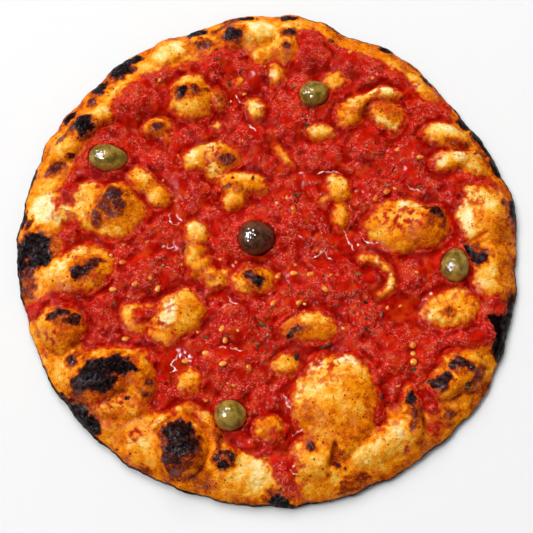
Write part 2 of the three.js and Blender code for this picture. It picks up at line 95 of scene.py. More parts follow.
# Blisters: x, y, half length, half width, turn in degrees, rise, share of the dome that is bare.
BLISTERS = [
    (-7, 141, 14, 8, -5, 4, 1.2), (-21, 137, 9, 8, 0, 4.5, 1.2), (-44, 136, 8, 5, 15, 3, 1.2),
    (11.5, 131, 7.5, 14, 0, 4, 1), (-60, 127, 12, 8, 25, 3, 1.1), (-100, 84, 8, 7, 35, 4, 1),
    (6, 111, 6.5, 8, 0, 5, 0.9), (0, 123, 10, 6, 10, 2, 1), (-46, 95.5, 15.5, 14.5, 0, 9.5, 1),
    (-29, 96, 6, 9, 10, 6.5, 0.9), (-66, 77, 10, 7.5, 0, 6.5, 1), (-61, 70, 5, 3.5, 0, 3, 0.9),
    (-30, 79, 5, 5, 0, 3, 0.8), (-6, 89, 7.5, 7.5, 0, 5.5, 0.95), (-17, 108, 4.5, 4.5, 0, 2.5, 0.8),
    (42, 106, 8.5, 7, 0, 5, 0.9), (33, 74, 9, 6, -10, 5, 0.95), (50, 85, 11, 9, 45, 5, 0.95),
    (57, 92, 12, 7.5, 35, 6.5, 1), (71, 97, 12, 5, -5, 7, 1), (74, 84, 12.5, 8.5, -30, 7, 1),
    (98, 102, 13, 6, -45, 2.5, 1.1), (108, 71, 14, 8, -10, 6.5, 1), (112, 56, 14, 7, 10, 5.5, 0.95),
    (125, 54, 11, 6, -50, 3, 1), (-109, 78, 12, 9, 40, 6, 1.1), (-123, 64, 12, 8.5, 25, 4, 1.1),
    (-94, 24, 22, 17, -6, 8.5, 1), (-92, 30, 15, 12, 0, 11, 1), (-108, 36, 9, 8, 40, 7, 1),
    (-120, 24, 9, 6.5, 0, 2, 1), (-74, 43, 10, 8.5, -30, 6, 0.95), (-64.5, 34, 9.5, 8.5, -50, 5, 0.95),
    (-33, 57, 20, 10.5, 3, 7, 1), (-31, 49, 8, 6, 0, 4, 1), (-15, 41, 17, 9, -8, 7, 1),
    (-20, 34, 8, 10, 20, 6, 1), (-42, 11, 8.5, 9, 0, 6.5, 1), (-43, -1, 7, 9, 0, 5, 1),
    (-39, -10, 7, 7.5, -30, 4.5, 1), (-31, -17, 9, 6.5, -20, 5, 1), (-24, -13, 4, 3.5, 0, 2.5, 1),
    (-8, -18, 13, 10.5, -10, 7.5, 1), (42, 38, 9, 9.5, 15, 6, 1), (35, 30, 4, 5, 0, 3, 0.9),
    (45, 21, 6, 9, 0, 5, 0.9), (9, 59, 10, 4.5, -52, 3, 0.85), (84, 15, 26, 17, 2, 9.5, 1),
    (96, 15, 14, 15, 0, 10.5, 1), (130, 22, 17, 19, -10, 5, 1), (134, -13, 14, 17, 0, 5, 1),
    (107.5, -35.5, 18, 13, 8, 8, 1), (-109, -13, 20.5, 15, 28, 8.5, 1), (-119, -46, 13.5, 13.5, 0, 8.5, 1),
    (-51, -38, 15, 14.5, 35, 10, 1), (-77, -41, 9, 10.5, -15, 5, 1), (-67, -38, 8, 8, 0, 4, 0.95),
    (-61, -51, 11, 7.5, -10, 5.5, 0.95), (-91, -73, 25, 15, 16, 10.5, 1), (-74, -78, 11, 14, 10, 7.5, 1),
    (-84, -92, 15, 8, 5, 4, 1), (-111, -65, 7, 6, 0, 3.5, 1.1), (-49, -114, 13.5, 17, 5, 10, 1),
    (-59, -99, 8, 4, 35, 5, 1), (-46, -95, 9, 4, 0, 5.5, 1), (-34, -99.5, 9, 4, -40, 5.5, 1),
    (-27, -107, 6, 3.5, -55, 3.5, 1), (-45, -79, 8.5, 11, 10, 5.5, 0.9), (-24, -121, 8, 7, 0, 3.5, 1.1),
    (1, -106, 9.5, 9, 0, 7, 0.95), (40, -90, 25.5, 29, -12, 12.5, 1), (25, -121, 12, 13, 0, 6.5, 1),
    (10, -69, 8.5, 8, 0, 5, 1), (25, -47, 18, 10.5, -5, 7.5, 0.9), (66, -114, 20, 10, 28, 3.5, 1.1),
    (84, -95, 6, 15, 5, 6.5, 1), (103, -79, 10.5, 8, 20, 6, 1), (114, -72, 14, 11.5, -10, 6, 1),
]
CURL_X, CURL_Y, CURL_RADIUS = 61, -17, 12
CURL_FROM, CURL_TO, CURL_STEPS = -50, 115, 12
CURL_DOME = (4.4, 4.4, 0, 5, 0.8)


def curl():
    """A curled fold of dough, as a row of small domes along an arc."""
    domes = []
    for step in range(CURL_STEPS):
        turn = math.radians(CURL_FROM + (CURL_TO - CURL_FROM) * step / (CURL_STEPS - 1))
        place = (CURL_X + CURL_RADIUS * math.cos(turn), CURL_Y + CURL_RADIUS * math.sin(turn))
        domes.append(place + CURL_DOME)
    return domes


BLISTERS += curl()

# Lumps that the sauce covers: x, y, half length, half width, turn, rise.
LUMPS = [
    (-81, 92, 15, 12, 0, 4), (-10, 112, 10, 10, 0, 3), (28, 124, 11, 9, 0, 3.5), (50, 117, 13, 7, 30, 3),
    (64, 114, 8, 9, 0, 2.5), (79, 110, 7, 10, 20, 2.5), (21, 16, 14, 13, 0, 4.5), (60, 66, 12, 9, 30, 4.5),
    (84, 58, 13, 12, 0, 3.5), (34, 58, 12, 9, 0, 3), (40, -20, 16, 14, 0, 4), (85, -18, 9, 11, 0, 3.5),
    (-76, -14, 14, 10, 10, 4), (-95, -38, 9, 12, 0, 3), (-20, -44, 11, 12, 0, 4),
    (-20, -72, 24, 13, 0, 5.5), (58, -38, 10, 9, 0, 2.5), (75, -62, 9, 10, 0, 3), (-2, -90, 10, 9, 0, 3),
    (-10, 70, 12, 9, 0, 3),
]

# Creases and pits: x, y, half length, half width, turn, depth.
CREASES = [
    (37.5, -120, 2.6, 8, -18, 4.5), (62, 87, 3, 6, -15, 3), (117, 64, 10, 2.4, -25, 3),
    (-25, -110, 3, 4, 20, 2.5), (91, -101, 2.4, 8, 12, 2.5), (-99, 37, 2, 6, -25, 2),
    (-51, -103, 12, 2, -5, 2.5), (126, 8, 8, 2.2, 20, 2), (-112, -28, 12, 2, 0, 2),
]

# Fingers of sauce that run out over the bare crust: x, y, half length, half width, turn.
FINGERS = [
    (-124, -31.5, 18, 3.4, 10), (-136, -36, 5.5, 5.5, 0), (10, -127, 14.5, 5.5, 110), (120, 43, 15, 3, -4),
    (136, -34, 6, 6, 0), (93, -89, 8, 4.5, -60), (64.5, -96, 7, 2.6, 95), (97, -103, 3, 4.2, 0),
    (-116, 41, 12, 3.6, 60), (-118, 12, 7, 3.4, 80), (-70, -38, 6, 4, 20),
]

# Olives: x, y, half length, half width, turn.
OLIVES = {
    "olive_back": (29, 98, 9.3, 8.2, 20),
    "olive_left": (-95, 57, 12, 8.2, -8),
    "olive_black": (-6, 7, 11, 10.4, 0),
    "olive_right": (111, -9.5, 10.2, 8.5, 80),
    "olive_front": (-20.5, -98, 9.4, 9, 0),
}
OLIVE_CENTRE = 15
OLIVE_TAPER = 0.12

# Tomato seeds that show plainly: x, y, turn.
SEEDS = [
    (16, 24, -65), (65, 32, 70), (72, 36, 20), (92, 57, 0), (7, -15, 60), (16, -14, 0), (26, -15, 15),
    (4, -32, 60), (19, -32, 40), (34, -25, -40), (-90, -24, 0), (-77, -21, 40), (-64, -23, 80),
    (-85, -7, 0), (-26, -48, 70), (-24, -54, 90), (-35, -62, 0), (-25, -69, 20), (-10, -71, -60),
    (-82, -53, 10), (85, -57, 90), (85, -62, 0), (85, -67, 90), (-47, -66, 0),
]

# ---------- what the oven did to the crust ----------
# Each list: x, y, half length, half width, turn, strength.

CHARS = [
    (-90, 117, 9, 5.5, 33, 1), (-83, 122.5, 7, 3.5, 30, 1), (-83, 115, 3.5, 3, 0, 0.82),
    (-88, 110, 2, 3, 30, 0.8), (-102.5, 105, 5.5, 3.5, 45, 1), (-101, 100, 2.5, 2.5, 0, 0.8),
    (-107, 94, 3.6, 3.2, 0, 0.76), (-120.5, 84.5, 6, 2.2, 48, 1), (-110, 77, 6, 6.5, 0, 1),
    (-118, 76, 2, 1.5, 0, 0.8), (-124, 70, 5, 1.6, 45, 0.74), (-117, 59, 2.4, 1.8, 0, 0.8),
    (-128, 51, 6, 3.4, 20, 0.79), (-142, 46, 1.5, 6, -15, 1), (-146, 19, 2.2, 7, -10, 0.95),
    (-142, 17, 2.4, 4.5, -40, 0.8), (-138, 3, 11, 8, 15, 1), (-134, -5, 8, 5, 10, 1),
    (-146, -5, 3, 9, 8, 1), (-141, -14, 4, 5, 10, 0.8), (-110, -15, 5, 4, 35, 0.9),
    (-103, -10, 6, 3.6, 30, 0.84), (-97, -7, 3, 1.8, -10, 0.72), (-124, -41, 4.2, 2.8, 20, 0.9),
    (-118, -39, 5, 2.6, 0, 0.9), (-111.5, -43, 3.8, 4.4, -30, 0.9), (-116, -43, 2.5, 1.8, 0, 0.78),
    (-112, -66, 3.8, 3.2, 0, 0.84), (-96, -73, 14, 7, 30, 1), (-84, -70, 8, 5.5, -10, 1),
    (-104, -80, 9, 5, 5, 0.94), (-92, -81, 8, 4, 15, 0.97), (-78, -71, 4.5, 2.4, -20, 1),
    (-108, -96, 9, 4.5, -48, 1), (-101, -103, 7, 4.5, -50, 1), (-116, -89, 6, 2.5, -50, 0.88),
    (-67, -79, 3, 2.2, 0, 0.78), (-68, -86, 3, 2, 0, 0.74), (-80, -88, 1.5, 1.5, 0, 1),
    (-90, -90, 3, 1.2, 0, 0.74), (-50, -108, 10, 7, 0, 0.98), (-48, -116, 9, 7, 0, 0.94),
    (-53, -121, 7, 6, 20, 0.84), (-52, -129, 5, 4, 0, 0.76), (-28, -122, 2, 2.6, 0, 0.92),
    (-24, -119.5, 4, 1.8, 0, 0.9), (-20, -122.5, 2, 3, 0, 0.9), (-24, -126, 4.4, 2.2, 0, 0.95),
    (7, -146, 5.5, 3.4, 0, 1), (12, -149, 5, 1.5, 0, 0.9), (25, -116, 2.6, 3, 20, 0.82),
    (41, -126, 2.4, 1.6, -20, 0.85), (45, -128, 1.2, 1, 0, 0.9), (83, -88, 3.2, 4.6, 10, 0.92),
    (84, -95, 2, 4, 5, 0.78), (83, -103, 2, 4, 0, 0.72), (98, -80, 4.8, 3.4, -20, 0.94),
    (103, -77, 3.8, 3, 35, 0.92), (107, -69, 3.4, 2.8, 30, 0.9), (112.5, -68, 5, 3.4, -10, 0.88),
    (117.5, -70.5, 3.4, 2.6, -40, 0.84), (121, -75, 1.8, 6, -20, 0.77), (116, -82, 1.1, 3, -20, 0.86),
    (135, -43, 7, 4, -20, 1), (139.5, -47, 6.5, 9.5, -12, 1), (144, -34, 2.4, 8, -10, 1),
    (137, -57, 5, 8, -22, 1), (148, 26, 2.6, 7, 0, 1), (143, 30, 4, 3, 0, 0.74),
    (138.5, 53.5, 2.2, 8, 22, 1), (134, 65, 2.5, 8, 32, 1), (128, 72.5, 2.4, 6, 38, 1),
    (121, 80.5, 4.8, 3.6, -30, 1), (118, 0, 5.5, 3.8, -10, 0.95), (125, -5, 5, 4, -20, 0.94),
    (121, -2, 4, 3, 0, 0.84), (101, 23, 4.6, 4, -20, 0.92), (96, 26, 3, 2, 0, 0.78),
    (105, 20, 2, 2, 0, 0.74), (-5, -19, 3.6, 3.4, 0, 0.95), (-10.5, -15, 4.2, 2.8, -30, 0.82),
    (-51, 98, 3.4, 3.8, 0, 0.9), (-43, 100, 4, 2.2, -5, 0.78), (-37, 100, 3, 1.6, -10, 0.74),
    (-66, 77, 3.4, 2.4, 0, 0.83), (-23, 56, 5.5, 3.6, 10, 0.78), (14, 138, 4, 2.6, 0, 0.83),
    (13, 129, 2.6, 2.6, 0, 0.79), (-21, 137, 6.2, 5.2, 10, 0.92), (-44, 141, 6.5, 3, 8, 1),
    (-38, 131, 7, 2.4, 0, 0.74), (-31, 128, 1.4, 1, 0, 0.8), (-24, 39, 2.2, 1.8, 0, 0.74),
    (-20, 44, 1.2, 1.2, 0, 0.84), (-8, 44, 0.9, 1.6, 0, 0.88), (-12, 151, 6, 2, 0, 1),
    (14, 151, 5, 2, 0, 1), (43, 146, 7, 2.2, -25, 1), (-28, 144, 6, 1.5, 35, 0.76),
    (51, 141, 4, 1.5, -30, 0.9), (73.5, 131, 4.5, 3, -30, 1), (99, 109, 4.5, 1.7, -50, 1),
    (90, 119.5, 4, 0.8, -40, 0.8), (106, 103, 5, 0.9, -55, 0.8), (115.5, 91, 3, 1.2, -50, 0.9),
    (40, 134, 1.5, 1.3, 0, 0.85), (126, 60, 1.8, 1.1, 30, 0.83), (-91, 33, 6, 5, 0, 0.82),
    (-87, 27, 5, 4, 0, 0.8), (-96, 26, 4.5, 4, 0, 0.76), (-101, 19, 4.5, 4.5, 0, 0.73),
    (-92, 21, 6, 3, 10, 0.7), (106, -37, 2.6, 2.4, 0, 0.75), (17, -48, 3.4, 2, 0, 0.8),
    (14, -52, 2.6, 1.4, 10, 0.86), (33, -58, 3, 1.4, 25, 0.74), (105, -97, 4.5, 2.4, 15, 0.74),
]
BROWNS = [
    (-91, 29, 12, 10, 20, 0.6), (-100, 19, 7, 6, 0, 0.62), (-106, 94, 6, 5, 0, 0.58),
    (-127, 51, 9, 6, 20, 0.62), (-137, 1, 15, 13, 0, 0.68), (-142, -18, 6, 14, 6, 0.72),
    (-106, -12, 11, 8, 25, 0.62), (-118, -42, 11, 7, -5, 0.62), (-112, -66, 6.5, 5, 0, 0.66),
    (-104, -63, 4, 4, 0, 0.6), (-93, -75, 23, 12, 20, 0.66), (-110, -87, 7, 5, -20, 0.72),
    (-105, -96, 14, 8, -45, 0.68), (-68, -82, 7, 10, 0, 0.6), (-49, -115, 13, 16, 10, 0.74),
    (-27, -110, 3, 5, 20, 0.72), (-24, -122, 7.5, 7, 0, 0.68), (50, -136, 11, 5, 25, 0.68),
    (7, -144, 9, 6, 0, 0.68), (84, -93, 5, 12, 8, 0.66), (111, -69, 10, 6, 0, 0.64),
    (100, -79, 8, 6, 20, 0.64), (122, -75, 4, 9, -20, 0.68), (105, -97, 8, 5, 20, 0.62),
    (106, -38, 5, 5, 0, 0.6), (122, -2, 11, 8, -15, 0.68), (102, 19, 9, 10, -20, 0.66),
    (95, 8, 16, 10, 0, 0.56), (18, -48, 8, 5, 0, 0.62), (33, -58, 5, 3, 0, 0.6),
    (-8, -17, 9, 6.5, -30, 0.62), (-48, 98, 12, 5.5, 0, 0.62), (-29, 97, 5, 7, 0, 0.66),
    (-66, 77, 6, 5, 0, 0.6), (-23, 56, 9, 6, 10, 0.62), (-24, 39, 4, 3.5, 0, 0.6), (-17, 38, 4, 4, 0, 0.6),
    (14, 138, 7, 5, 0, 0.62), (13, 129, 5, 5, 0, 0.6), (-38, 131, 12, 6, 0, 0.62),
    (-21, 137, 9, 8, 0, 0.66), (-26, 144, 10, 4, 30, 0.62), (134, 60, 5, 20, 36, 0.66),
    (136, -51, 8, 13, -10, 0.7), (146, 22, 4, 12, 0, 0.64), (142, -10, 7, 16, 0, 0.56),
    (138, 10, 8, 12, 0, 0.55), (-116, 78, 9, 6, 40, 0.62), (-109, 74, 8, 8, 0, 0.66),
    (-96, 112, 14, 7, 35, 0.62), (-104, 101, 7, 6, 45, 0.62), (0, -103, 9, 6, 0, 0.5),
    (2, -111, 9, 5, 0, 0.6), (25, -115, 4.5, 5, 0, 0.62), (40, -122, 5, 6, 0, 0.62),
    (52, -108, 14, 8, 20, 0.55), (60, -92, 5, 16, -5, 0.55), (24, -98, 8, 8, 0, 0.55),
    (115, 64, 10, 3.5, -25, 0.66), (112, 47, 10, 3, 5, 0.56), (74, 88, 12, 5, -30, 0.6),
    (62, 88, 3, 7, -15, 0.68), (-45, -87, 8, 6, 0, 0.58), (-78, 37, 4, 5, 0, 0.56), (-48, 0, 3, 7, 0, 0.6),
    (-34, -17, 5, 3, -20, 0.6), (-118, 57, 4, 3, 0, 0.62), (-96, -21, 5, 6, 0, 0.56),
]
# Pale marks: partly crust that baked less, partly painted highlight where oil on lit faces catches the light.
PALES_AND_SHEEN = [
    (-131, 24, 12, 8, 0, 1.1), (-58, 128, 11, 6, 20, 0.55), (-6, 141, 10, 8, 0, 0.65),
    (-9, -132, 15, 10, 0, 0.6), (31, -132, 11, 11, 0, 0.45), (67, -117, 16, 9, 28, 0.65),
    (29, -67, 6, 3.4, 40, 1.1), (47, -63, 6, 4, -10, 1.1), (-57, -39, 4, 7, -15, 1.2),
    (-30, 50, 7, 4.5, 0, 0.7), (-47, 57, 5, 5, 20, 0.5), (-6, 90, 5, 4, 0, 0.7), (4, 111, 2.6, 2.6, 0, 1.2),
    (71, 98, 11, 3, -5, 1), (69, 80, 8, 3, -15, 1.2), (79, 75, 4, 4, -50, 1.1),
    (120, 54, 10, 4.5, -40, 0.8), (103, 55, 5, 4, 0, 0.7), (106, 73, 10, 4, -12, 0.45),
    (118, 17, 4, 12, 0, 1), (116, 35, 4, 3, 0, 0.8), (129, 30, 6, 6, 0, 0.4), (132, -17, 11, 9, 0, 0.5),
    (-97, 12, 14, 4, -15, 0.5), (-110, 29, 6, 7, 0, 0.5), (87, 29, 8, 2.4, 8, 0.8),
    (98, -41, 7, 4, -20, 0.6), (-42, 13, 6, 5, 0, 0.4), (42, 41, 6, 5, 0, 0.4), (-116, -72, 9, 9, 0, 0.5),
    (-70, -118, 10, 6, -35, 0.5), (-72, 46, 6, 3, 0, 0.4), (-78, -64, 8, 3, -15, 0.5),
    (-46, 90, 9, 5, 0, 0.4), (-99, 84, 5, 4, 0, 0.5), (-97, -30, 5, 2, 0, 0.3), (-10, -27, 8, 3, 0, 0.3),
    (-12, -106, 3, 3, 0, 0.3), (35, -85, 9, 7, 0, 0.25), (55, -72, 6, 6, 0, 0.35), (33, 75, 7, 4, 0, 0.6),
    (66, -9, 9, 2.5, 0, 0.7), (73, -17, 2, 8, 0, 0.7), (-125, -13, 8, 6, 0, 0.5), (-46, -95, 8, 2, 0, 0.5),
    (-60, -99, 7, 2, 35, 0.5), (18, -84, 3, 8, 10, 0.4), (128, -70, 4, 8, -20, 0.3),
    (112, -78, 6, 5, 0, 0.35), (24, -41, 10, 3, 5, 0.3),
]
STAINS = [
    (-90, -90, 13, 4, 10, 1), (-74, -94, 8, 5, 0, 0.6), (-124, -53, 4, 5, 60, 1), (-130, -60, 3, 3, 0, 0.8),
    (-114, -50, 6, 3, 0, 0.7), (-77, -71, 5, 5, 0, 0.8), (-78, -79, 8, 3, 0, 0.7), (97, -103, 5, 6, 0, 0.8),
    (74, -97, 8, 8, 0, 0.55), (80, -117, 2, 3, 0, 1), (76, -110, 3, 5, 0, 0.4), (80, 18, 13, 8, 0, 1),
    (70, 20, 7, 6, 0, 0.9), (88, 8, 12, 8, 0, 0.4), (116, 62, 9, 4, -25, 0.9), (113, 46, 14, 3, -5, 0.6),
    (-33, 58, 4, 8, -30, 1), (-30, 46, 5, 3, 0, 0.8), (-67, -44, 6, 3.4, 0, 1.2), (-54, -32, 4, 6, 0, 0.7),
    (-61, -47, 9, 4, 0, 0.5), (33, -68, 10, 6, 0, 0.9), (36, -76, 12, 6, 0, 0.6), (17, -82, 5, 9, 0, 0.6),
    (103, -28, 12, 4, 0, 0.7), (-104, 41, 6, 3, 0, 0.5), (124, -31, 10, 4, -20, 0.8),
    (124, 30, 4, 9, 15, 0.8), (127, 14, 4, 10, 0, 0.5), (-47, -98, 8, 3, 0, 0.6), (9, -141, 5, 3, 0, 1),
    (16, -143, 3, 3, 0, 0.9), (0, -117, 8, 6, 0, 0.6), (66, 93, 3, 7, -20, 0.8), (72, 90, 12, 4, -20, 0.8),
    (90, 104, 4, 4, 0, 0.9), (97, 96, 8, 4, -30, 0.6), (-100, 108, 6, 4, 0, 0.4), (104, 62, 6, 3, 0, 0.8),
    (-88, -98, 12, 6, 10, 0.6), (-76, -109, 6, 3, 20, 1), (-62, -102, 5, 2, 30, 0.6),
    (-113, -5, 3, 3, 0, 0.9), (-104, -20, 10, 4, 25, 0.8), (-105, -3, 6, 3, 0, 0.6),
    (-66, 46, 5, 5, 0, 0.9), (-77, 34, 3, 4, 0, 0.7), (40, -47, 6, 7, 0, 0.7), (14, -43, 8, 5, 0, 0.6),
    (-46, -86, 7, 5, 0, 0.9), (-18, 120, 9, 3, 0, 0.8), (6, 124, 12, 5, 0, 0.45),
    (-40, 124, 12, 4, 10, 0.7), (-66, 112, 8, 4, 30, 0.6), (50, 90, 8, 8, 0, 0.6), (60, 78, 6, 6, 0, 0.8),
    (35, 104, 3, 4, 0, 0.6), (34, 38, 4, 6, 0, 0.9), (48, 33, 5, 3, 0, 0.5), (113, -88, 8, 4, 0, 0.3),
    (22, -112, 6, 6, 0, 0.5), (19, -124, 3, 9, 0, 0.8), (-42, 4, 5, 4, 0, 0.4), (-28, -12, 4, 3, 0, 0.6),
    (-22, -8, 8, 2, 0, 0.6), (-118, 36, 3, 6, -20, 0.5), (95, -93, 4, 6, 0, 0.8), (-100, -58, 8, 2, 0, 0.5),
]

# Wet hollows where liquid stands on the sauce: x, y, half length, half width, turn.
POOLS = [
    (-54, 18, 4, 6, 20), (-56, 2, 3, 5, 0), (-16, 96, 6, 3, -35), (-8, 76, 7, 3, -60), (3, 68, 5, 3, -50),
    (33, 47, 8, 3, 5), (50, 3, 7, 3.5, -15), (63, 5, 5, 3, 0), (88, 38, 5, 2.5, 0), (-20, -29, 5, 3, 0),
    (-52, -67, 9, 7, 30), (-24, -60, 5, 4, 0), (-16, -60, 5, 4, 0), (13, -92, 5, 4, 40),
    (20, -107, 6, 3, 30), (15, -128, 3, 5, 0), (66, -26, 5, 3, -30), (33, -6, 6, 3, 0), (94, -30, 6, 3, 40),
    (82, -34, 11, 6, 0),
]

# ---------- random shapes ----------

GRID_TURN = 0.7
GRID_SHIFT = (31.7, -17.3)
NOISE_GAIN = 1.5  # brings the values to about -1 to 1
HASH_I, HASH_J, HASH_SEED, HASH_MIX = 374761393, 668265263, 1442695041, 1274126177
WORD, HALF_WORD = 0xFFFFFFFF, 0xFFFF


def noise(x, y, size, seed):
    """Smooth random values from about -1 to 1, in bumps about `size` across."""
    turn = GRID_TURN + seed
    u = (x * math.cos(turn) + y * math.sin(turn)) / size + GRID_SHIFT[0] * seed
    v = (y * math.cos(turn) - x * math.sin(turn)) / size + GRID_SHIFT[1] * seed
    i = np.floor(u).astype(np.int64)
    j = np.floor(v).astype(np.int64)
    fu = u - i
    fv = v - j

    def corner(di, dj):
        angle = hashed(i + di, j + dj, seed) * 2 * math.pi
        return np.cos(angle) * (fu - di) + np.sin(angle) * (fv - dj)

    su = fu * fu * fu * (fu * (fu * 6 - 15) + 10)
    sv = fv * fv * fv * (fv * (fv * 6 - 15) + 10)
    low = corner(0, 0) + su * (corner(1, 0) - corner(0, 0))
    high = corner(0, 1) + su * (corner(1, 1) - corner(0, 1))
    return (low + sv * (high - low)) * NOISE_GAIN


def layered(x, y, layers):
    """Random values added up from layers, each with its size, push and seed."""
    return sum(push * noise(x, y, size, seed) for size, push, seed in layers)


def hashed(i, j, seed):
    """A random number from 0 to 1 for each whole-numbered cell."""
    mixed = (i * HASH_I + j * HASH_J + seed * HASH_SEED) & WORD
    mixed = ((mixed ^ (mixed >> 13)) * HASH_MIX) & WORD
    return ((mixed ^ (mixed >> 16)) & HALF_WORD) / (HALF_WORD + 1)


def cells(x, y, size, seed):
    """Distance to the nearest of random points about `size` apart, as a share of that size."""
    u = x / size
    v = y / size
    i = np.floor(u).astype(np.int64)
    j = np.floor(v).astype(np.int64)
    nearest = np.full(np.shape(x), np.inf)
    for di in (-1, 0, 1):
        for dj in (-1, 0, 1):
            px = i + di + hashed(i + di, j + dj, seed)
            py = j + dj + hashed(i + di, j + dj, seed + 7)
            nearest = np.minimum(nearest, np.hypot(px - u, py - v))
    return nearest


def ramp(low, high, value):
    """0 at low, 1 at high, smooth between, whichever is larger."""
    t = np.clip((value - low) / (high - low), 0, 1)
    return t * t * (3 - 2 * t)


# ---------- heights, in millimetres ----------


def curve_between(a, b, c, d, t):
    """Where the smooth curve through a, b, c and d is, at share t of the way from b to c."""
    return b + (t / 2) * (c - a + t * (2 * a - 5 * b + 4 * c - d + t * (3 * (b - c) + d - a)))


def around(values, angle):
    """A smooth closed curve through values given at even steps of angle."""
    values = np.asarray(values, float)
    n = len(values)
    at = (angle / (2 * math.pi) * n) % n
    i = np.floor(at).astype(int) % n
    a, b, c, d = (values[(i + k) % n] for k in (-1, 0, 1, 2))
    return curve_between(a, b, c, d, at - np.floor(at))


def edge_radius(angle):
    """The bread's radius at each angle."""
    radius = around(EDGE_RADII, angle)
    for push, waves, phase in EDGE_RIPPLES:
        radius = radius + push * np.sin(waves * angle + phase)
    for at, push, half in EDGE_SWELLINGS:
        away = (np.degrees(angle) - at + 180) % 360 - 180
        radius = radius + push * np.exp(-((away / half) ** 2))
    return radius


def edge_inset(x, y):
    """How far in from the bread's edge each point is."""
    return edge_radius(np.arctan2(y, x)) - np.hypot(x, y)


def turned(x, y, degrees):
    """x and y turned about the middle."""
    c = math.cos(math.radians(degrees))
    s = math.sin(math.radians(degrees))
    return x * c - y * s, x * s + y * c


def within(feature, x, y, scale=1.0):
    """0 at the middle of a turned ellipse, 1 on its outline."""
    cx, cy, long, wide, turn = feature[:5]
    along, across = turned(x - cx, y - cy, -turn)
    return np.hypot(along / long, across / wide) / scale


def bent(x, y):
    """The point moved a little, so that outlines wander."""
    bx, by = x, y
    for push, length, phase in BENDS:
        bx = bx + push * np.sin((y + BEND_SLANT * x) / length + phase)
        by = by + push * np.sin((x - BEND_SLANT * y) / length + 2 * phase)
    return bx, by


def loaf_top(x, y):
    """The crust's height without its fine relief."""
    r = np.hypot(x, y)
    edge = edge_radius(np.arctan2(y, x))
    total = np.zeros(np.shape(x))
    bx, by = bent(x, y)
    for bump in BLISTERS + LUMPS:
        d = np.minimum(1, within(bump, bx, by, DOME_SPREAD))
        total += (bump[RISE] * (1 - d * d) ** DOME_POWER) ** BLEND
    crease = np.zeros(np.shape(x))
    for pit in CREASES:
        d = np.minimum(1, within(pit, bx, by))
        crease = np.maximum(crease, pit[RISE] * (1 - d * d) ** DOME_POWER)
    rim = RIM_RISE * np.exp(-(((r - (edge - RIM_INSET)) / RIM_WIDTH) ** 2))
    wave = WAVE * sum(np.sin(x / along_x + y / along_y) for along_x, along_y in WAVE_LENGTHS)
    full = CRUMB_HEIGHT + rim + wave + total ** (1 / BLEND) - crease
    across = np.clip((r - (edge - EDGE_BAND)) / EDGE_BAND, 0, 1)
    return EDGE_HEIGHT + (full - EDGE_HEIGHT) * (1 - across * across) ** EDGE_ROUNDNESS


def sauce_inside(x, y):
    """Millimetres inside the sauce's edge, negative where the crust is bare."""
    inside = around(SAUCE_REACH, np.arctan2(y, x)) - np.hypot(x, y)
    bx, by = bent(x, y)
    for dome in BLISTERS:
        reach = math.sqrt(dome[LONG] * dome[WIDE]) * dome[BARE]
        inside = np.minimum(inside, (within(dome, bx, by, dome[BARE]) - 1) * reach)
    for finger in FINGERS:
        inside = np.maximum(inside, (1 - within(finger, bx, by)) * min(finger[LONG], finger[WIDE]))
    return inside


# Size, push and seed of what makes the sauce's edge and the outlines of the marks ragged.
SAUCE_EDGE_WOBBLES = ((11, 1.2, 11), (5, 1.2, 12), (2.2, 0.8, 13), (1.1, 0.4, 14))
MARK_WOBBLES = ((5, 1, 21), (2.6, 0.8, 22), (1.3, 0.3, 23))
MARK_HALF = 3  # a mark of this half width takes the whole wobble, and a wider one less
CHAR_WOBBLE, CHAR_SOFTNESS = 0.34, 0.5


def ragged_inside(x, y):
    """The same with the sauce's real ragged edge."""
    return sauce_inside(x, y) + layered(x, y, SAUCE_EDGE_WOBBLES)


def marks(table, x, y, wobble, softness):
    """How strongly the marks of a list show at each point, from 0 to 1, with broken edges."""
    shift = wobble * layered(x, y, MARK_WOBBLES)
    strongest = np.zeros(np.shape(x))
    for mark in table:
        cx, cy, long, wide, _, strength = mark
        reach = 2 * (long + wide)
        near = (np.abs(x - cx) < reach) & (np.abs(y - cy) < reach)
        if near.any():
            d = within(mark, x[near], y[near]) + shift[near] / math.sqrt(min(long, wide) / MARK_HALF)
            strongest[near] = np.maximum(strongest[near], strength * ramp(1 + softness, 1 - softness / 2, d))
    return strongest


def charred(x, y):
    """How strongly the char shows at each point."""
    return marks(CHARS, x, y, CHAR_WOBBLE, CHAR_SOFTNESS)


def socket_floor(x, y, height):
    """The height lowered where an olive is pressed in, to just under the olive."""
    for olive in OLIVES.values():
        d = within(olive, x, y)
        bowl = OLIVE_CENTRE - olive[WIDE] * np.sqrt(np.clip(1 - d * d, 0, 1)) - GAP
        height = np.where(d < 1, np.minimum(height, bowl), height)
    return height


# ---------- meshes ----------

SECTORS = 6  # each ring of a disc has this many more points than the last
OUTLINE_STEPS = 720


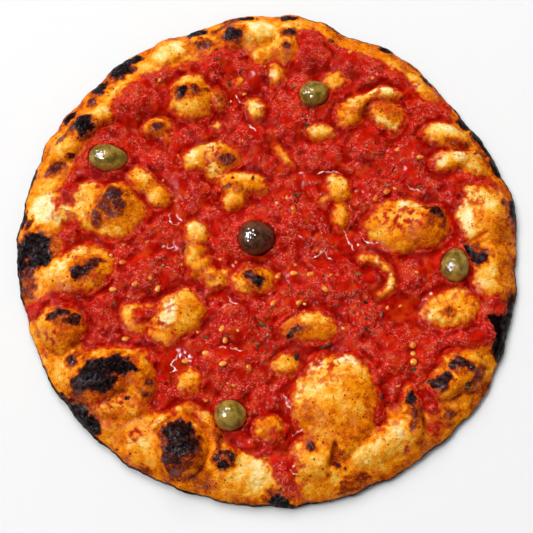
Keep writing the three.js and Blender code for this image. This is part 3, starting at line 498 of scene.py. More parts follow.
def disc(rings, band_rings):
    """x, y and triangles of a disc out to the bread's edge, closing up over the outer band."""
    counts = np.maximum(1, SECTORS * np.arange(rings + 1))
    first = np.concatenate([[0], np.cumsum(counts)[:-1]])
    ring = np.repeat(np.arange(rings + 1), counts)
    angle = (np.arange(len(ring)) - first[ring]) * 2 * math.pi / np.maximum(1, SECTORS * ring)
    edge = edge_radius(angle)
    inner_rings = rings - band_rings
    inner = edge - EDGE_BAND
    turn = np.clip((ring - inner_rings) / band_rings, 0, 1) * math.pi / 2
    r = np.where(ring <= inner_rings, inner * ring / inner_rings, inner + EDGE_BAND * np.sin(turn))
    triangles = []
    for k in range(1, rings + 1):
        sector = np.repeat(np.arange(SECTORS), k)
        i = np.tile(np.arange(k), SECTORS)
        outer = [first[k] + (sector * k + i + step) % counts[k] for step in (0, 1)]
        inside = [first[k - 1] + (sector * (k - 1) + i + step) % counts[k - 1] for step in (0, 1)]
        triangles.append(np.stack([outer[0], outer[1], inside[0]], 1))
        last = i < k - 1
        triangles.append(np.stack([outer[1], inside[1], inside[0]], 1)[last])
    return r * np.cos(angle), r * np.sin(angle), np.concatenate(triangles)


def outline_middle():
    """The middle of the outline's box, which the frame has at its origin."""
    angle = np.linspace(0, 2 * math.pi, OUTLINE_STEPS + 1)
    x = edge_radius(angle) * np.cos(angle)
    y = edge_radius(angle) * np.sin(angle)
    return (x.max() + x.min()) / 2, (y.max() + y.min()) / 2


LOAF_LOW, LOAF_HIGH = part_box("loaf")
MIDDLE = outline_middle()
SHIFT_X = (LOAF_LOW[0] + LOAF_HIGH[0]) / 2 / MM - MIDDLE[0]
SHIFT_Y = (LOAF_LOW[1] + LOAF_HIGH[1]) / 2 / MM - MIDDLE[1]


def piece(name, points, faces, material, replaced=None, smooth=True):
    """A mesh object from points in millimetres, riding on the bread."""
    mesh = bpy.data.meshes.new(name)
    points = (np.asarray(points, float) + (SHIFT_X, SHIFT_Y, 0)) * MM
    mesh.from_pydata(points.tolist(), [], [list(map(int, face)) for face in faces])
    mesh.polygons.foreach_set("use_smooth", [smooth] * len(mesh.polygons))
    mesh.materials.append(material)
    obj = bpy.data.objects.new(name, mesh)
    bpy.context.scene.collection.objects.link(obj)
    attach(obj, "root")
    if replaced:
        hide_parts(replaced)
    return obj


def attribute(obj, name, values):
    """Gives each point of a mesh a number that its material reads."""
    data = obj.data.attributes.new(name, "FLOAT", "POINT").data
    data.foreach_set("value", np.asarray(values, np.float32))


# ---------- materials ----------


def srgb(red, green, blue):
    """A colour given as 0 to 255 screen values."""
    linear = [((c / 255 + 0.055) / 1.055) ** 2.4 if c > 10 else c / 255 / 12.92 for c in (red, green, blue)]
    return (*linear, 1)


MIX_A, MIX_B, MIX_RESULT = 6, 7, 2  # a colour mix node's sockets


class Nodes:
    """A material's node tree, with a short call for each kind of node it needs."""

    def __init__(self, name):
        self.material = bpy.data.materials.new(name)
        self.material.use_nodes = True
        self.tree = self.material.node_tree
        self.shader = self.tree.nodes["Principled BSDF"]
        self.place = self.tree.nodes.new("ShaderNodeTexCoord").outputs["Object"]

    def link(self, value, socket):
        """Joins another node's output to a socket, or sets the socket to a plain value."""
        if isinstance(value, bpy.types.NodeSocket):
            self.tree.links.new(value, socket)
        else:
            socket.default_value = value

    def noise(self, size_mm, detail, rough=0.5):
        """Cloudy values round 0.5, in clouds about `size_mm` across."""
        node = self.tree.nodes.new("ShaderNodeTexNoise")
        self.link(self.place, node.inputs["Vector"])
        node.inputs["Scale"].default_value = 1 / (size_mm * MM)
        node.inputs["Detail"].default_value = detail
        node.inputs["Roughness"].default_value = rough
        return node.outputs["Fac"]

    def cells(self, size_mm):
        """Distance to the nearest of random points about `size_mm` apart."""
        node = self.tree.nodes.new("ShaderNodeTexVoronoi")
        self.link(self.place, node.inputs["Vector"])
        node.inputs["Scale"].default_value = 1 / (size_mm * MM)
        return node.outputs["Distance"]

    def value(self, name):
        """A number that the mesh holds for each of its points."""
        node = self.tree.nodes.new("ShaderNodeAttribute")
        node.attribute_name = name
        return node.outputs["Fac"]

    def ramp(self, value, low, high, to_low=0.0, to_high=1.0):
        """`to_low` at low, `to_high` at high, smooth between."""
        node = self.tree.nodes.new("ShaderNodeMapRange")
        node.interpolation_type = "SMOOTHSTEP"
        self.link(value, node.inputs["Value"])
        for socket, number in zip(("From Min", "From Max", "To Min", "To Max"), (low, high, to_low, to_high)):
            node.inputs[socket].default_value = number
        return node.outputs["Result"]

    def math(self, operation, a, b):
        """One sum of two values."""
        node = self.tree.nodes.new("ShaderNodeMath")
        node.operation = operation
        self.link(a, node.inputs[0])
        self.link(b, node.inputs[1])
        return node.outputs[0]

    def colours(self, value, stops):
        """The colour that stands at a value in a row of stops."""
        node = self.tree.nodes.new("ShaderNodeValToRGB")
        self.link(value, node.inputs["Fac"])
        places = node.color_ramp.elements
        for k, (at, colour) in enumerate(stops):
            stop = places[k] if k < 2 else places.new(at)
            stop.position = at
            stop.color = colour
        return node.outputs["Color"]

    def mix(self, factor, a, b):
        """Colour a at factor 0, colour b at factor 1."""
        node = self.tree.nodes.new("ShaderNodeMix")
        node.data_type = "RGBA"
        self.link(factor, node.inputs["Factor"])
        self.link(a, node.inputs[MIX_A])
        self.link(b, node.inputs[MIX_B])
        return node.outputs[MIX_RESULT]

    def times(self, a, b):
        return self.math("MULTIPLY", a, b)

    def plus(self, a, b):
        return self.math("ADD", a, b)

    def bump(self, height, depth_mm):
        """Tilts the shading as relief of this height would, `depth_mm` deep."""
        node = self.tree.nodes.new("ShaderNodeBump")
        node.inputs["Strength"].default_value = 1.0
        node.inputs["Distance"].default_value = depth_mm * MM
        self.link(height, node.inputs["Height"])
        return node.outputs["Normal"]

    def set(self, **sockets):
        """Sets inputs of the material, each named with _ for a blank."""
        for name, value in sockets.items():
            self.link(value, self.shader.inputs[name.replace("_", " ")])


# Crust colours from underbaked to burnt, each with how far it is baked.
BAKED = [
    (0.00, srgb(255, 242, 200)), (0.14, srgb(255, 225, 150)), (0.28, srgb(251, 187, 70)),
    (0.40, srgb(248, 150, 10)), (0.52, srgb(228, 114, 0)), (0.62, srgb(192, 80, 0)),
    (0.70, srgb(148, 50, 8)), (0.78, srgb(108, 32, 16)), (0.86, srgb(66, 22, 18)),
    (0.94, srgb(34, 14, 12)), (1.00, srgb(15, 8, 9)),
]


# Lighter tints for the raised knobs of scorched crust: partly ash, partly painted highlight.
ASH_SHEEN_RED, ASH_SHEEN_GREY = srgb(146, 66, 48), srgb(112, 92, 104)
STAIN_RIM, STAIN_DEEP, STAIN_BRIGHT = srgb(218, 88, 14), srgb(160, 14, 4), srgb(206, 44, 12)


def crust_material():
    """Baked dough: mottled browning, painted shade, specks, sauce stains, ashy knobs with painted highlight,
    cracks, oil.
    """
    n = Nodes("crust")
    baked_and_shaded = n.value("baked_and_shaded")
    knob = n.value("knob")
    stained = n.value("stain")
    fine = n.noise(1.0, 2, 0.6)
    patchy = n.noise(4.5, 3, 0.6)
    mottle = n.plus(n.ramp(fine, 0.3, 0.7, -0.06, 0.06), n.ramp(patchy, 0.3, 0.7, -0.08, 0.08))
    coarse = n.times(n.ramp(n.cells(3.6), 0.2, 0.13), n.ramp(n.noise(9, 1), 0.54, 0.6))
    small = n.times(n.ramp(n.cells(2.1), 0.24, 0.16), n.ramp(n.noise(6, 1), 0.56, 0.62))
    specks = n.times(n.math("MAXIMUM", coarse, small), 0.42)
    colour = n.colours(n.plus(n.plus(baked_and_shaded, mottle), specks), BAKED)
    # Painted highlight and ash on the knob tops.
    ash_and_sheen = n.mix(n.ramp(n.noise(7, 1), 0.42, 0.58), ASH_SHEEN_RED, ASH_SHEEN_GREY)
    colour = n.mix(n.times(knob, 0.5), colour, ash_and_sheen)
    colour = n.mix(n.ramp(stained, 0.05, 0.5, 0.0, 0.75), colour, STAIN_RIM)
    stain = n.mix(n.ramp(fine, 0.35, 0.7), STAIN_DEEP, STAIN_BRIGHT)
    colour = n.mix(n.ramp(stained, 0.4, 0.9), colour, stain)
    cracked = n.times(n.math("POWER", n.cells(2.4), 2), n.ramp(baked_and_shaded, 0.62, 0.9, 0, -4))
    height = n.plus(n.times(fine, 0.5), n.times(n.noise(2.8, 2), 1.7))
    rough = n.ramp(baked_and_shaded, 0.7, 0.9, 0.6, 0.42)
    n.set(Base_Color=colour, Roughness=rough, Specular_IOR_Level=0.03)
    n.set(Normal=n.bump(n.plus(height, cracked), 0.7))
    oily = n.plus(n.noise(1.3, 1), n.times(n.noise(3.4, 1), 1.5))
    oiled = n.math("MAXIMUM", n.ramp(n.noise(8, 2), 0.46, 0.64, 0.0, 0.3), n.times(knob, 0.6))
    n.set(Coat_Weight=oiled, Coat_Roughness=0.15, Coat_IOR=1.5, Coat_Normal=n.bump(oily, 1.2))
    return n.material


SAUCE_REDS = (srgb(180, 14, 3), srgb(202, 27, 9))
# On the next line the paler pulp red is partly painted light on bump tops, and the palest pink partly painted
# glint.
SAUCE_ORANGE, SAUCE_PULP_TOP_LIGHT, SAUCE_FLECK_GLINT = srgb(210, 62, 12), srgb(214, 48, 24), srgb(234, 134, 116)
# The darkest red on the next line is painted shade, laid in hollows.
SAUCE_HOLLOW_SHADE, SAUCE_THIN, SAUCE_BURNT = srgb(134, 3, 0), srgb(216, 70, 8), srgb(18, 9, 9)


def sauce_material():
    """Red crushed tomato: paler specks and fibres partly painted glints, painted shade in hollows, smooth
    where wet.
    """
    n = Nodes("tomato_sauce")
    wet = n.value("wet")
    hollow_shade = n.value("hollow_shade")
    burnt = n.value("burnt")
    pulpy = n.ramp(n.math("MAXIMUM", hollow_shade, wet), 0.0, 0.7, 1, 0)
    pulp = n.noise(2.8, 1)
    grain = n.times(n.math("POWER", n.cells(1.9), 2), -1.5)
    height = n.plus(n.plus(grain, n.times(n.noise(1.0, 1), 0.4)), n.times(pulp, 1.1))
    colour = n.mix(n.ramp(n.noise(12, 2), 0.35, 0.68), *SAUCE_REDS)
    colour = n.mix(n.ramp(n.noise(7, 2), 0.48, 0.68, 0.0, 0.7), colour, SAUCE_ORANGE)
    # Paler red where the pulp bumps stand highest: partly pulp colour, partly painted light on the bump tops.
    colour = n.mix(n.ramp(pulp, 0.5, 0.72, 0.0, 0.5), colour, SAUCE_PULP_TOP_LIGHT)
    # Pale specks and short fibres: partly pulp, partly painted glints, kept out of hollows.
    flecks_and_glints = n.times(n.ramp(n.noise(1.0, 2, 0.6), 0.53, 0.62), n.ramp(n.noise(4.2, 2), 0.36, 0.56))
    fibre_glints = n.math("ABSOLUTE", n.math("SUBTRACT", n.noise(3.6, 1), 0.5), 0)
    fibre_glints = n.times(n.ramp(fibre_glints, 0.025, 0.008), n.ramp(n.noise(3.0, 1), 0.52, 0.6))
    pale_and_glints = n.math("MAXIMUM", n.times(flecks_and_glints, 0.6), n.times(fibre_glints, 0.8))
    colour = n.mix(n.times(pale_and_glints, pulpy), colour, SAUCE_FLECK_GLINT)
    # Painted shade: hollows drawn a deeper red.
    colour = n.mix(hollow_shade, colour, SAUCE_HOLLOW_SHADE)
    colour = n.mix(n.value("thin"), colour, SAUCE_THIN)
    colour = n.mix(burnt, colour, SAUCE_BURNT)
    bumps = n.times(height, n.ramp(wet, 0, 1, 1, 0.06))
    n.set(Base_Color=colour, Roughness=0.5, Specular_IOR_Level=0.0, Normal=n.bump(bumps, 0.35))
    shine = n.times(n.ramp(wet, 0.8, 1.0, 0.15, 0.5), n.ramp(burnt, 0, 1, 1, 0))
    n.set(Coat_Weight=shine, Coat_Roughness=0.04, Coat_IOR=1.42, Coat_Normal=n.bump(bumps, 0.85))
    return n.material


GREEN_OLIVE = (srgb(107, 84, 18), srgb(172, 140, 56))
BLACK_OLIVE = (srgb(54, 28, 18), srgb(100, 62, 44))
OLIVE_SPOT = srgb(70, 52, 20)


def olive_material(name, dark, light):
    """Oiled olive skin in two tones, with small brown spots."""
    n = Nodes(name)
    colour = n.mix(n.ramp(n.noise(5, 3), 0.35, 0.65), dark, light)
    colour = n.mix(n.ramp(n.noise(1.1, 2), 0.6, 0.75), colour, OLIVE_SPOT)
    n.set(Base_Color=colour, Roughness=0.5, Specular_IOR_Level=0.1, Normal=n.bump(n.noise(4, 1), 0.8))
    n.set(Coat_Weight=1.0, Coat_Roughness=0.06, Coat_IOR=1.7, Coat_Normal=n.bump(n.noise(2.0, 1), 1.0))
    return n.material


# Light pink of the juice threads: a painted highlight.
JUICE_GLINT = srgb(236, 150, 136)


def juice_material():
    """Standing tomato juice under a glossy coat, its light pink colour a painted highlight."""
    n = Nodes("juice_painted_glint")
    n.set(Base_Color=JUICE_GLINT, Roughness=0.3, Specular_IOR_Level=0.5)
    n.set(Coat_Weight=1.0, Coat_Roughness=0.16, Coat_IOR=2.0)
    return n.material


SEED_DARK, SEED_LIGHT = srgb(220, 100, 16), srgb(248, 164, 62)


def seed_material():
    """Wet tomato seed, amber with paler clouds."""
    n = Nodes("tomato_seed")
    colour = n.mix(n.ramp(n.noise(6, 2), 0.35, 0.65), SEED_DARK, SEED_LIGHT)
    n.set(Base_Color=colour, Roughness=0.16, Specular_IOR_Level=0.5, Normal=n.bump(n.noise(3, 2), 0.1))
    return n.material


# Oregano colours from the darkest flakes to the palest.
OREGANO = [
    (0.0, srgb(30, 20, 18)), (0.35, srgb(70, 46, 24)), (0.7, srgb(124, 96, 44)), (1.0, srgb(176, 144, 84)),
]


def oregano_material():
    """Dry crumbled leaf, each flake with its own tone."""
    n = Nodes("oregano")
    tone = n.plus(n.value("tone"), n.ramp(n.noise(1.5, 1), 0.3, 0.7, -0.2, 0.2))
    n.set(Base_Color=n.colours(tone, OREGANO), Roughness=0.7, Specular_IOR_Level=0.1)
    return n.material


# ---------- crust ----------

LOAF_RINGS, LOAF_BAND_RINGS = 172, 28
# Rings below the edge and on the underside: how far in from the edge, height, and how baked.
HEEL = (
    (0.25, 1.7, 0.82), (0.6, 1.0, 0.84), (1.4, 0.35, 0.82), (3.0, 0.0, 0.76), (8, 0.0, 0.68), (25, 0.0, 0.62),
    (60, 0.0, 0.58),
)
UNDERSIDE_BAKE = 0.6
UNDERSIDE_PATCHES = 0.12
CHAR_DEPTH = 1.5
RELIEF_START = 3  # how far in from the edge the fine relief is whole
SLOPE_STEP = 2.5  # over which the crust's slope and hollows are measured

# How far each thing moves the crust on the scale from 0, underbaked, to 1, burnt, painted shade included.
PLAIN_BAKE = 0.425
BAKE_PATCHES = ((15, 0.1, 42), (6, 0.08, 43), (2.4, 0.05, 44))  # size, push, seed
# Painted shade: slopes that face the front right, away from the light, are drawn darker on this scale, with
# more added further in, up to this far from the edge.
SHADED_SIDE = (0.55, -0.83)
SIDE_SHADE, SIDE_SHADE_INSIDE, SIDE_SHADE_INSET = 0.07, 0.1, 14
# Painted shade: hollows in the crust are drawn darker, and crests a little lighter, by this much per
# millimetre.
HOLLOW_SHADE = 0.12
SAUCE_SIDE_BAKE = 0.08
# Along the edge: everywhere, in patches, more at the back, and how far in it reaches.
EDGE_BAKE, EDGE_BAKE_PATCHES, EDGE_BAKE_BACK, EDGE_BAKE_WIDTH = 0.14, 0.14, 0.07, 12
PALE_AND_SHEEN_BAKE = 0.26
BROWN_PATCHES = 0.08
# How wide the burnt line round the edge is, at every ten degrees from +X.
BURNT_LINE = [
    0.6, 1.4, 1.5, 1.8, 1.2, 0.9, 1, 1.8, 1.1, 0.4, 0.3, 0.9, 0.5, 0.9, 0.4, 0.6, 1.3, 1.5,
    1.3, 1.6, 0.1, 0.9, 1.2, 1, 0.9, 0.7, 0.6, 0.8, 0.7, 0.6, 0.6, 0.5, 0.3, 0.2, 1.5, 1,
]
BURNT_LINE_LEAST = 0.15
BURNT_LINE_WOBBLES = ((11, 0.5, 47), (3, 0.4, 48))
STAIN_BLOTCHES = ((3.5, 1, 51), (1.6, 0.7, 52))


def cracks(x, y):
    """The puckered, cracked relief of scorched crust, from 0 to about 1."""
    knobs = 0.8 * np.abs(noise(x, y, 4.4, 34)) + 0.5 * np.abs(noise(x, y, 2.3, 35))
    return np.clip(0.35 + knobs - 0.6 * cells(x, y, 3.4, 36), 0, 1.2)


def skin(x, y):
    """The fine relief of the crust where it isn't scorched."""
    return 0.5 * noise(x, y, 8, 31) - 0.4 * np.abs(noise(x, y, 4.5, 32)) + 0.14 * noise(x, y, 2.0, 33)


def bake_and_shade(x, y, char, inside, inset):
    """How far the crust has browned at each point, from 0, underbaked, to 1, burnt, with painted shade in it.
    """
    right, left = loaf_top(x + SLOPE_STEP, y), loaf_top(x - SLOPE_STEP, y)
    back, front = loaf_top(x, y + SLOPE_STEP), loaf_top(x, y - SLOPE_STEP)
    facing_shaded_side = -((right - left) * SHADED_SIDE[0] + (back - front) * SHADED_SIDE[1]) / (2 * SLOPE_STEP)
    # How far each point lies below its neighbours, used only for painted shade.
    hollow_shade = (right + left + back + front) / 4 - loaf_top(x, y)
    # Painted shade on the slopes that face away from the light.
    side_shade = (SIDE_SHADE + SIDE_SHADE_INSIDE * ramp(0, SIDE_SHADE_INSET, inset)) * np.clip(facing_shaded_side, -0.6, 1.1)
    near_sauce = ramp(-5, -0.3, inside + 2 * noise(x, y, 4, 41))
    backward = y / np.maximum(np.hypot(x, y), 1)
    edge = EDGE_BAKE + EDGE_BAKE_PATCHES * noise(x, y, 9, 45) + EDGE_BAKE_BACK * backward
    level = PLAIN_BAKE + layered(x, y, BAKE_PATCHES) + side_shade + HOLLOW_SHADE * np.clip(hollow_shade, -0.4, 1.2)
    level = level + SAUCE_SIDE_BAKE * near_sauce + edge * ramp(EDGE_BAKE_WIDTH, 0.5, inset)
    # The pale marks lighten the crust, partly as painted highlight.
    level = level - PALE_AND_SHEEN_BAKE * marks(PALES_AND_SHEEN, x, y, 0.35, 0.6) * (1 - 0.3 * near_sauce)
    level = np.maximum(level, marks(BROWNS, x, y, 0.5, 0.7) + BROWN_PATCHES * noise(x, y, 2.5, 46))
    line = BURNT_LINE_LEAST + around(BURNT_LINE, np.arctan2(y, x)) + layered(x, y, BURNT_LINE_WOBBLES)
    level = np.maximum(level, ramp(line + 0.7, line - 0.5, inset))
    return np.clip(np.maximum(level, char), 0, 1)


def stains(x, y, inside):
    """How strongly sauce has stained the crust, in blotches and along the sauce's edge."""
    blotch = layered(x, y, STAIN_BLOTCHES)
    stain = marks(STAINS, x, y, 0.7, 0.6) * ramp(-0.3, 0.35, blotch)
    return np.clip(np.maximum(stain, ramp(-4.5, 0.4, inside + 2.2 * blotch)), 0, 1) * 0.9


def close_below(x, y, faces):
    """Points, triangles and bake of the heel and the underside, from the outermost ring inwards."""
    rim_count = SECTORS * LOAF_RINGS
    rim_x, rim_y = x[-rim_count:], y[-rim_count:]
    total = len(x)
    above = np.arange(total - rim_count, total)
    after = np.roll(np.arange(rim_count), -1)
    points, faces, baked_and_shaded = [], [faces], []
    for inset, height, bake_there in HEEL:
        shrink = 1 - inset / np.hypot(rim_x, rim_y)
        ring_x, ring_y = rim_x * shrink, rim_y * shrink
        points.append(np.stack([ring_x, ring_y, np.full(rim_count, height)], 1))
        baked_and_shaded.append(bake_there + UNDERSIDE_PATCHES * ramp(2, 10, inset) * noise(ring_x, ring_y, 20, 53))
        below = np.arange(total, total + rim_count)
        faces.append(np.stack([above, below, below[after]], 1))
        faces.append(np.stack([above, below[after], above[after]], 1))
        above = below
        total += rim_count
    points.append([[0, 0, 0]])
    baked_and_shaded.append([UNDERSIDE_BAKE])
    faces.append(np.stack([above[after], above, np.full(rim_count, total)], 1))
    return np.concatenate(points), np.concatenate(faces), np.concatenate(baked_and_shaded)


def make_crust():
    """The bread as fine heights out to its edge, closed by the heel and the underside."""
    x, y, faces = disc(LOAF_RINGS, LOAF_BAND_RINGS)
    char = charred(x, y)
    inside = ragged_inside(x, y)
    bare = ramp(1.0, -1.0, inside)
    inset = edge_inset(x, y)
    scorched = ramp(0.6, 0.85, char)
    pucker = cracks(x, y)
    relief = skin(x, y) * (1 - 0.5 * scorched) * (0.3 + 0.7 * bare) + CHAR_DEPTH * scorched * pucker
    z = loaf_top(x, y) + ramp(0, RELIEF_START, inset) * relief
    z = socket_floor(x, y, np.maximum(z, EDGE_HEIGHT))
    below, faces, under = close_below(x, y, faces)
    points = np.concatenate([np.stack([x, y, z], 1), below])
    obj = piece("crust", points, faces, crust_material(), "loaf")
    knob = ramp(0.35, 0.9, pucker) * ramp(0.6, 0.72, char) * ramp(1.05, 0.8, char)
    # How far each point has browned, with painted shade on slopes and in hollows; the underside's browning
    # follows.
    attribute(obj, "baked_and_shaded", np.concatenate([bake_and_shade(x, y, char, inside, inset), under]))
    attribute(obj, "stain", np.concatenate([stains(x, y, inside) * (1 - scorched), 0 * under]))
    attribute(obj, "knob", np.concatenate([knob, 0 * under]))


# ---------- sauce ----------

SAUCE_RINGS, SAUCE_BAND_RINGS = 215, 26
SAUCE_FOOT = 2.4  # how far in from its edge the sauce stands two thirds of its depth
SAUCE_MOUNDS = ((13, 1.9, 61), (6.5, 1.2, 62))  # size, push, seed
PULP = ((3.8, 1.8, 63), (2.2, 0.7, 64))
PULP_MIDDLE = 0.3
POOL_SINK = 1.0  # how far standing liquid lies below the pulp around it
POOL_RIPPLE = 0.3
SILK = 0.85  # how much smoother the smooth patches are
# How far the sauce rises against an olive, and where and how widely, with 1 on the olive's outline.
COLLAR, COLLAR_PLACE, COLLAR_WIDTH = 2.1, 1.1, 0.22
SAUCE_DIVE = 0.8  # how far below the crust the sheet's edge runs before it stops
HOLLOW_STEP = 4.5  # over which the sauce's hollows are measured
# How far in from the bread's edge char shows on the sauce: not at all at the first, whole at the second.
SAUCE_BURNT_INSET = (24, 19)


def sauce_surface(x, y):
    """Height of the sauce, its depth, its relief, and how rough with pulp it is, from 0 to 1."""
    inside = ragged_inside(x, y)
    depth = np.where(inside > 0, SAUCE_DEPTH * (1 - np.exp(-inside / SAUCE_FOOT)), inside * SAUCE_SLOPE)
    calm = np.ones(np.shape(x))
    sunk = np.zeros(np.shape(x))
    shore = 0.3 * noise(x, y, 4, 67)
    for pool in POOLS:
        d = within(pool, x, y) + shore
        calm = np.minimum(calm, ramp(0.9, 1.5, d))
        sunk = np.maximum(sunk, ramp(1.3, 0.6, d))
    pulp = sum(push * (PULP_MIDDLE - cells(x, y, size, seed) ** 2) for size, push, seed in PULP)
    rough = calm * (1 - SILK * ramp(0.05, 0.6, noise(x, y, 10, 72)))
    relief = layered(x, y, SAUCE_MOUNDS) * (0.4 + 0.6 * calm) + pulp * rough - POOL_SINK * sunk
    relief = relief + POOL_RIPPLE * (1 - calm) * noise(x, y, 2.8, 68)
    for olive in OLIVES.values():
        away = (within(olive, x, y) - COLLAR_PLACE) / COLLAR_WIDTH
        relief = relief + COLLAR * np.exp(-(away**2)) * (1 + noise(x, y, 5, 69))
    body = ramp(0.1, 1.4, depth)
    return loaf_top(x, y) + depth + body * relief, depth, relief, rough


def sauce_hollow(x, y):
    """How far the sauce lies below what is around it, in millimetres."""
    def level(dx, dy):
        return loaf_top(x + dx, y + dy) + layered(x + dx, y + dy, SAUCE_MOUNDS)
    steps = ((HOLLOW_STEP, 0), (-HOLLOW_STEP, 0), (0, HOLLOW_STEP), (0, -HOLLOW_STEP))
    return sum(level(dx, dy) for dx, dy in steps) / len(steps) - level(0, 0)


def make_sauce():
    """A sheet over the bread that dips under the crust where the crust is bare."""
    x, y, faces = disc(SAUCE_RINGS, SAUCE_BAND_RINGS)
    z, depth, relief, rough = sauce_surface(x, y)
    z = socket_floor(x, y, z)
    kept = depth > -SAUCE_DIVE
    faces = faces[kept[faces].all(1)]
    used, flat = np.unique(faces, return_inverse=True)
    points = np.stack([x, y, z], 1)[used]
    obj = piece("sauce", points, flat.reshape(faces.shape), sauce_material(), "tomato_sauce")
    # Painted shade: hollows and low pulp are drawn darker.
    hollow_shade = 0.75 * ramp(0.2, 1.5, sauce_hollow(x, y) + 0.7 * noise(x, y, 3, 70))
    hollow_shade = np.maximum(hollow_shade, 0.6 * ramp(0.0, -1.8, relief))
    thin = 0.7 * ramp(0.7, 0.0, depth) * ramp(-0.3, 0.5, noise(x, y, 4, 66))
    burnt = ramp(0.5, 0.8, charred(x, y)) * ramp(*SAUCE_BURNT_INSET, edge_inset(x, y))
    for name, values in (("hollow_shade", hollow_shade), ("thin", thin), ("wet", 1 - rough), ("burnt", burnt)):
        attribute(obj, name, values[used])


# ---------- ridges of standing juice ----------

RIDGE_WIDTH, RIDGE_HEIGHT = 1.4, 0.5  # at a ridge's middle
RIDGE_WANDER = 0.8
RIDGE_TIP = 0.02  # half width at the ends
RIDGE_LIFT = 0.15
# Each ridge runs through its places, x and y.
RIDGES = [
    [(-57, 24), (-58, 20), (-56, 16.5), (-53, 16), (-51, 18)], [(-59, 5), (-58, 2), (-55.5, 2), (-54, 4)],
    [(-22, -27), (-21, -30), (-19, -32), (-16, -33)], [(-26, -35), (-23, -33.5), (-20, -32)],
    [(-28, -59), (-25, -58), (-23, -58.5)], [(-21, -59), (-17, -60), (-13, -60.5)],
    [(46, 13), (48, 8), (50, 4), (52.5, 0.5)], [(27, -5), (31, -2.5), (34, 0), (34.5, 2)],
    [(34, 0), (36.5, -3.5), (38, -6)], [(30, 48), (35, 49), (40, 49.5), (44, 48)],
    [(-19, 99), (-17, 96), (-15, 94), (-13, 93)], [(-11, 80), (-9, 77), (-6, 74)],
    [(84, 40), (87, 38.5), (90, 38), (92, 36)],
    [(-50, -60), (-52, -64), (-55, -68), (-53, -71), (-56, -73)], [(-49, -62), (-47, -65), (-46, -68)],
    [(10, -85), (11, -88), (12, -92), (14, -95)], [(15, -110), (18, -107.5), (22, -105.5), (24, -104)],
    [(57, 7.5), (60, 5.5), (64, 4.5), (69, 5)], [(-37, 95), (-35, 92), (-33, 91)],
    [(13, -129), (15, -131), (18, -131)],
]
RIDGE_STEPS = 40
RIDGE_SIDES = 8


def ridge_path(places):
    """Points and half widths along a smooth curve through the places, thin at both ends."""
    places = np.array(places, float)
    first, last = 2 * places[0] - places[1], 2 * places[-1] - places[-2]
    p = np.vstack([first, places, last])
    at = np.linspace(0, len(places) - 1 - 1e-9, RIDGE_STEPS)
    i = at.astype(int)
    path = curve_between(p[i], p[i + 1], p[i + 2], p[i + 3], (at - i)[:, None])
    x, y = path.T
    wander = np.stack([noise(x, y, 2.2, seed) for seed in (73, 74)], 1)
    uneven = np.clip(0.7 + 0.9 * noise(x, y, 2.0, 71), 0.2, 1.5)
    swell = np.sin(math.pi * np.linspace(0, 1, RIDGE_STEPS)) ** 0.5
    return path + RIDGE_WANDER * wander, RIDGE_WIDTH / 2 * swell * uneven + RIDGE_TIP


def make_ridges():
    """A thin thread of juice along each ridge's path."""
    points, faces = [], []
    for places in RIDGES:
        path, half = ridge_path(places)
        along = np.gradient(path, axis=0)
        along /= np.linalg.norm(along, axis=1)[:, None]
        level = sauce_surface(path[:, 0], path[:, 1])[0] + RIDGE_LIFT
        start = len(points)
        for (x, y), (along_x, along_y), wide, z in zip(path, along, half, level):
            for side in range(RIDGE_SIDES):
                at = 2 * math.pi * side / RIDGE_SIDES
                out = wide * math.cos(at)
                up = RIDGE_HEIGHT * wide / (RIDGE_WIDTH / 2) * math.sin(at)
                points.append((x - along_y * out, y + along_x * out, z + up))
        for k in range(RIDGE_STEPS - 1):
            for side in range(RIDGE_SIDES):
                after = (side + 1) % RIDGE_SIDES
                near = start + k * RIDGE_SIDES
                far = near + RIDGE_SIDES
                faces.append((near + side, far + side, far + after, near + after))
        faces.append(tuple(start + side for side in range(RIDGE_SIDES)))
        last = start + (RIDGE_STEPS - 1) * RIDGE_SIDES
        faces.append(tuple(last + side for side in reversed(range(RIDGE_SIDES))))
    piece("juice", points, faces, juice_material())


# ---------- olives ----------

OLIVE_SIDES, OLIVE_BANDS = 64, 40
WRINKLES = {  # how deep each olive's folds are
    "olive_back": 0.5, "olive_left": 0.22, "olive_black": 0.16, "olive_right": 0.14, "olive_front": 0.2,
}
FOLD_SPREAD, FOLD_SLANT = 4.0, 1.7
PIT_DEPTH, PIT_WIDTH = 0.9, 0.14


def rounds(bands, sides):
    """Tip angle and turn of each point of a spindle between its two tips, band by band."""
    for band in range(1, bands):
        for side in range(sides):
            yield math.pi * band / bands, 2 * math.pi * side / sides


def olive_points(olive, wrinkle, seed):
    """Rings of points from one tip to the other, wrinkled, with a pit where the stalk was."""
    x, y, long, wide, turn = olive
    points = [(1.0, 0.0, 0.0)]
    for tip, at in rounds(OLIVE_BANDS, OLIVE_SIDES):
        points.append((math.cos(tip), math.sin(tip) * math.cos(at), math.sin(tip) * math.sin(at)))
    points.append((-1.0, 0.0, 0.0))
    px, py, pz = np.array(points).T
    u = FOLD_SPREAD * px + FOLD_SLANT * pz
    v = FOLD_SPREAD * np.arctan2(py, pz + 1e-9) * np.sqrt(np.clip(1 - px**2, 0, 1))
    folds = -np.abs(noise(u, v, 1.3, seed)) + 0.5 * noise(u, v, 0.7, seed + 1)
    pit = np.exp(-((np.hypot(py, pz) / PIT_WIDTH) ** 2)) * (px > 0)
    grown = 1 + (wrinkle * folds - PIT_DEPTH * pit) / wide
    across = wide * grown * (1 - OLIVE_TAPER * px)
    turned_x, turned_y = turned(px * long * grown, py * across, turn)
    return np.stack([x + turned_x, y + turned_y, OLIVE_CENTRE + pz * across], 1)


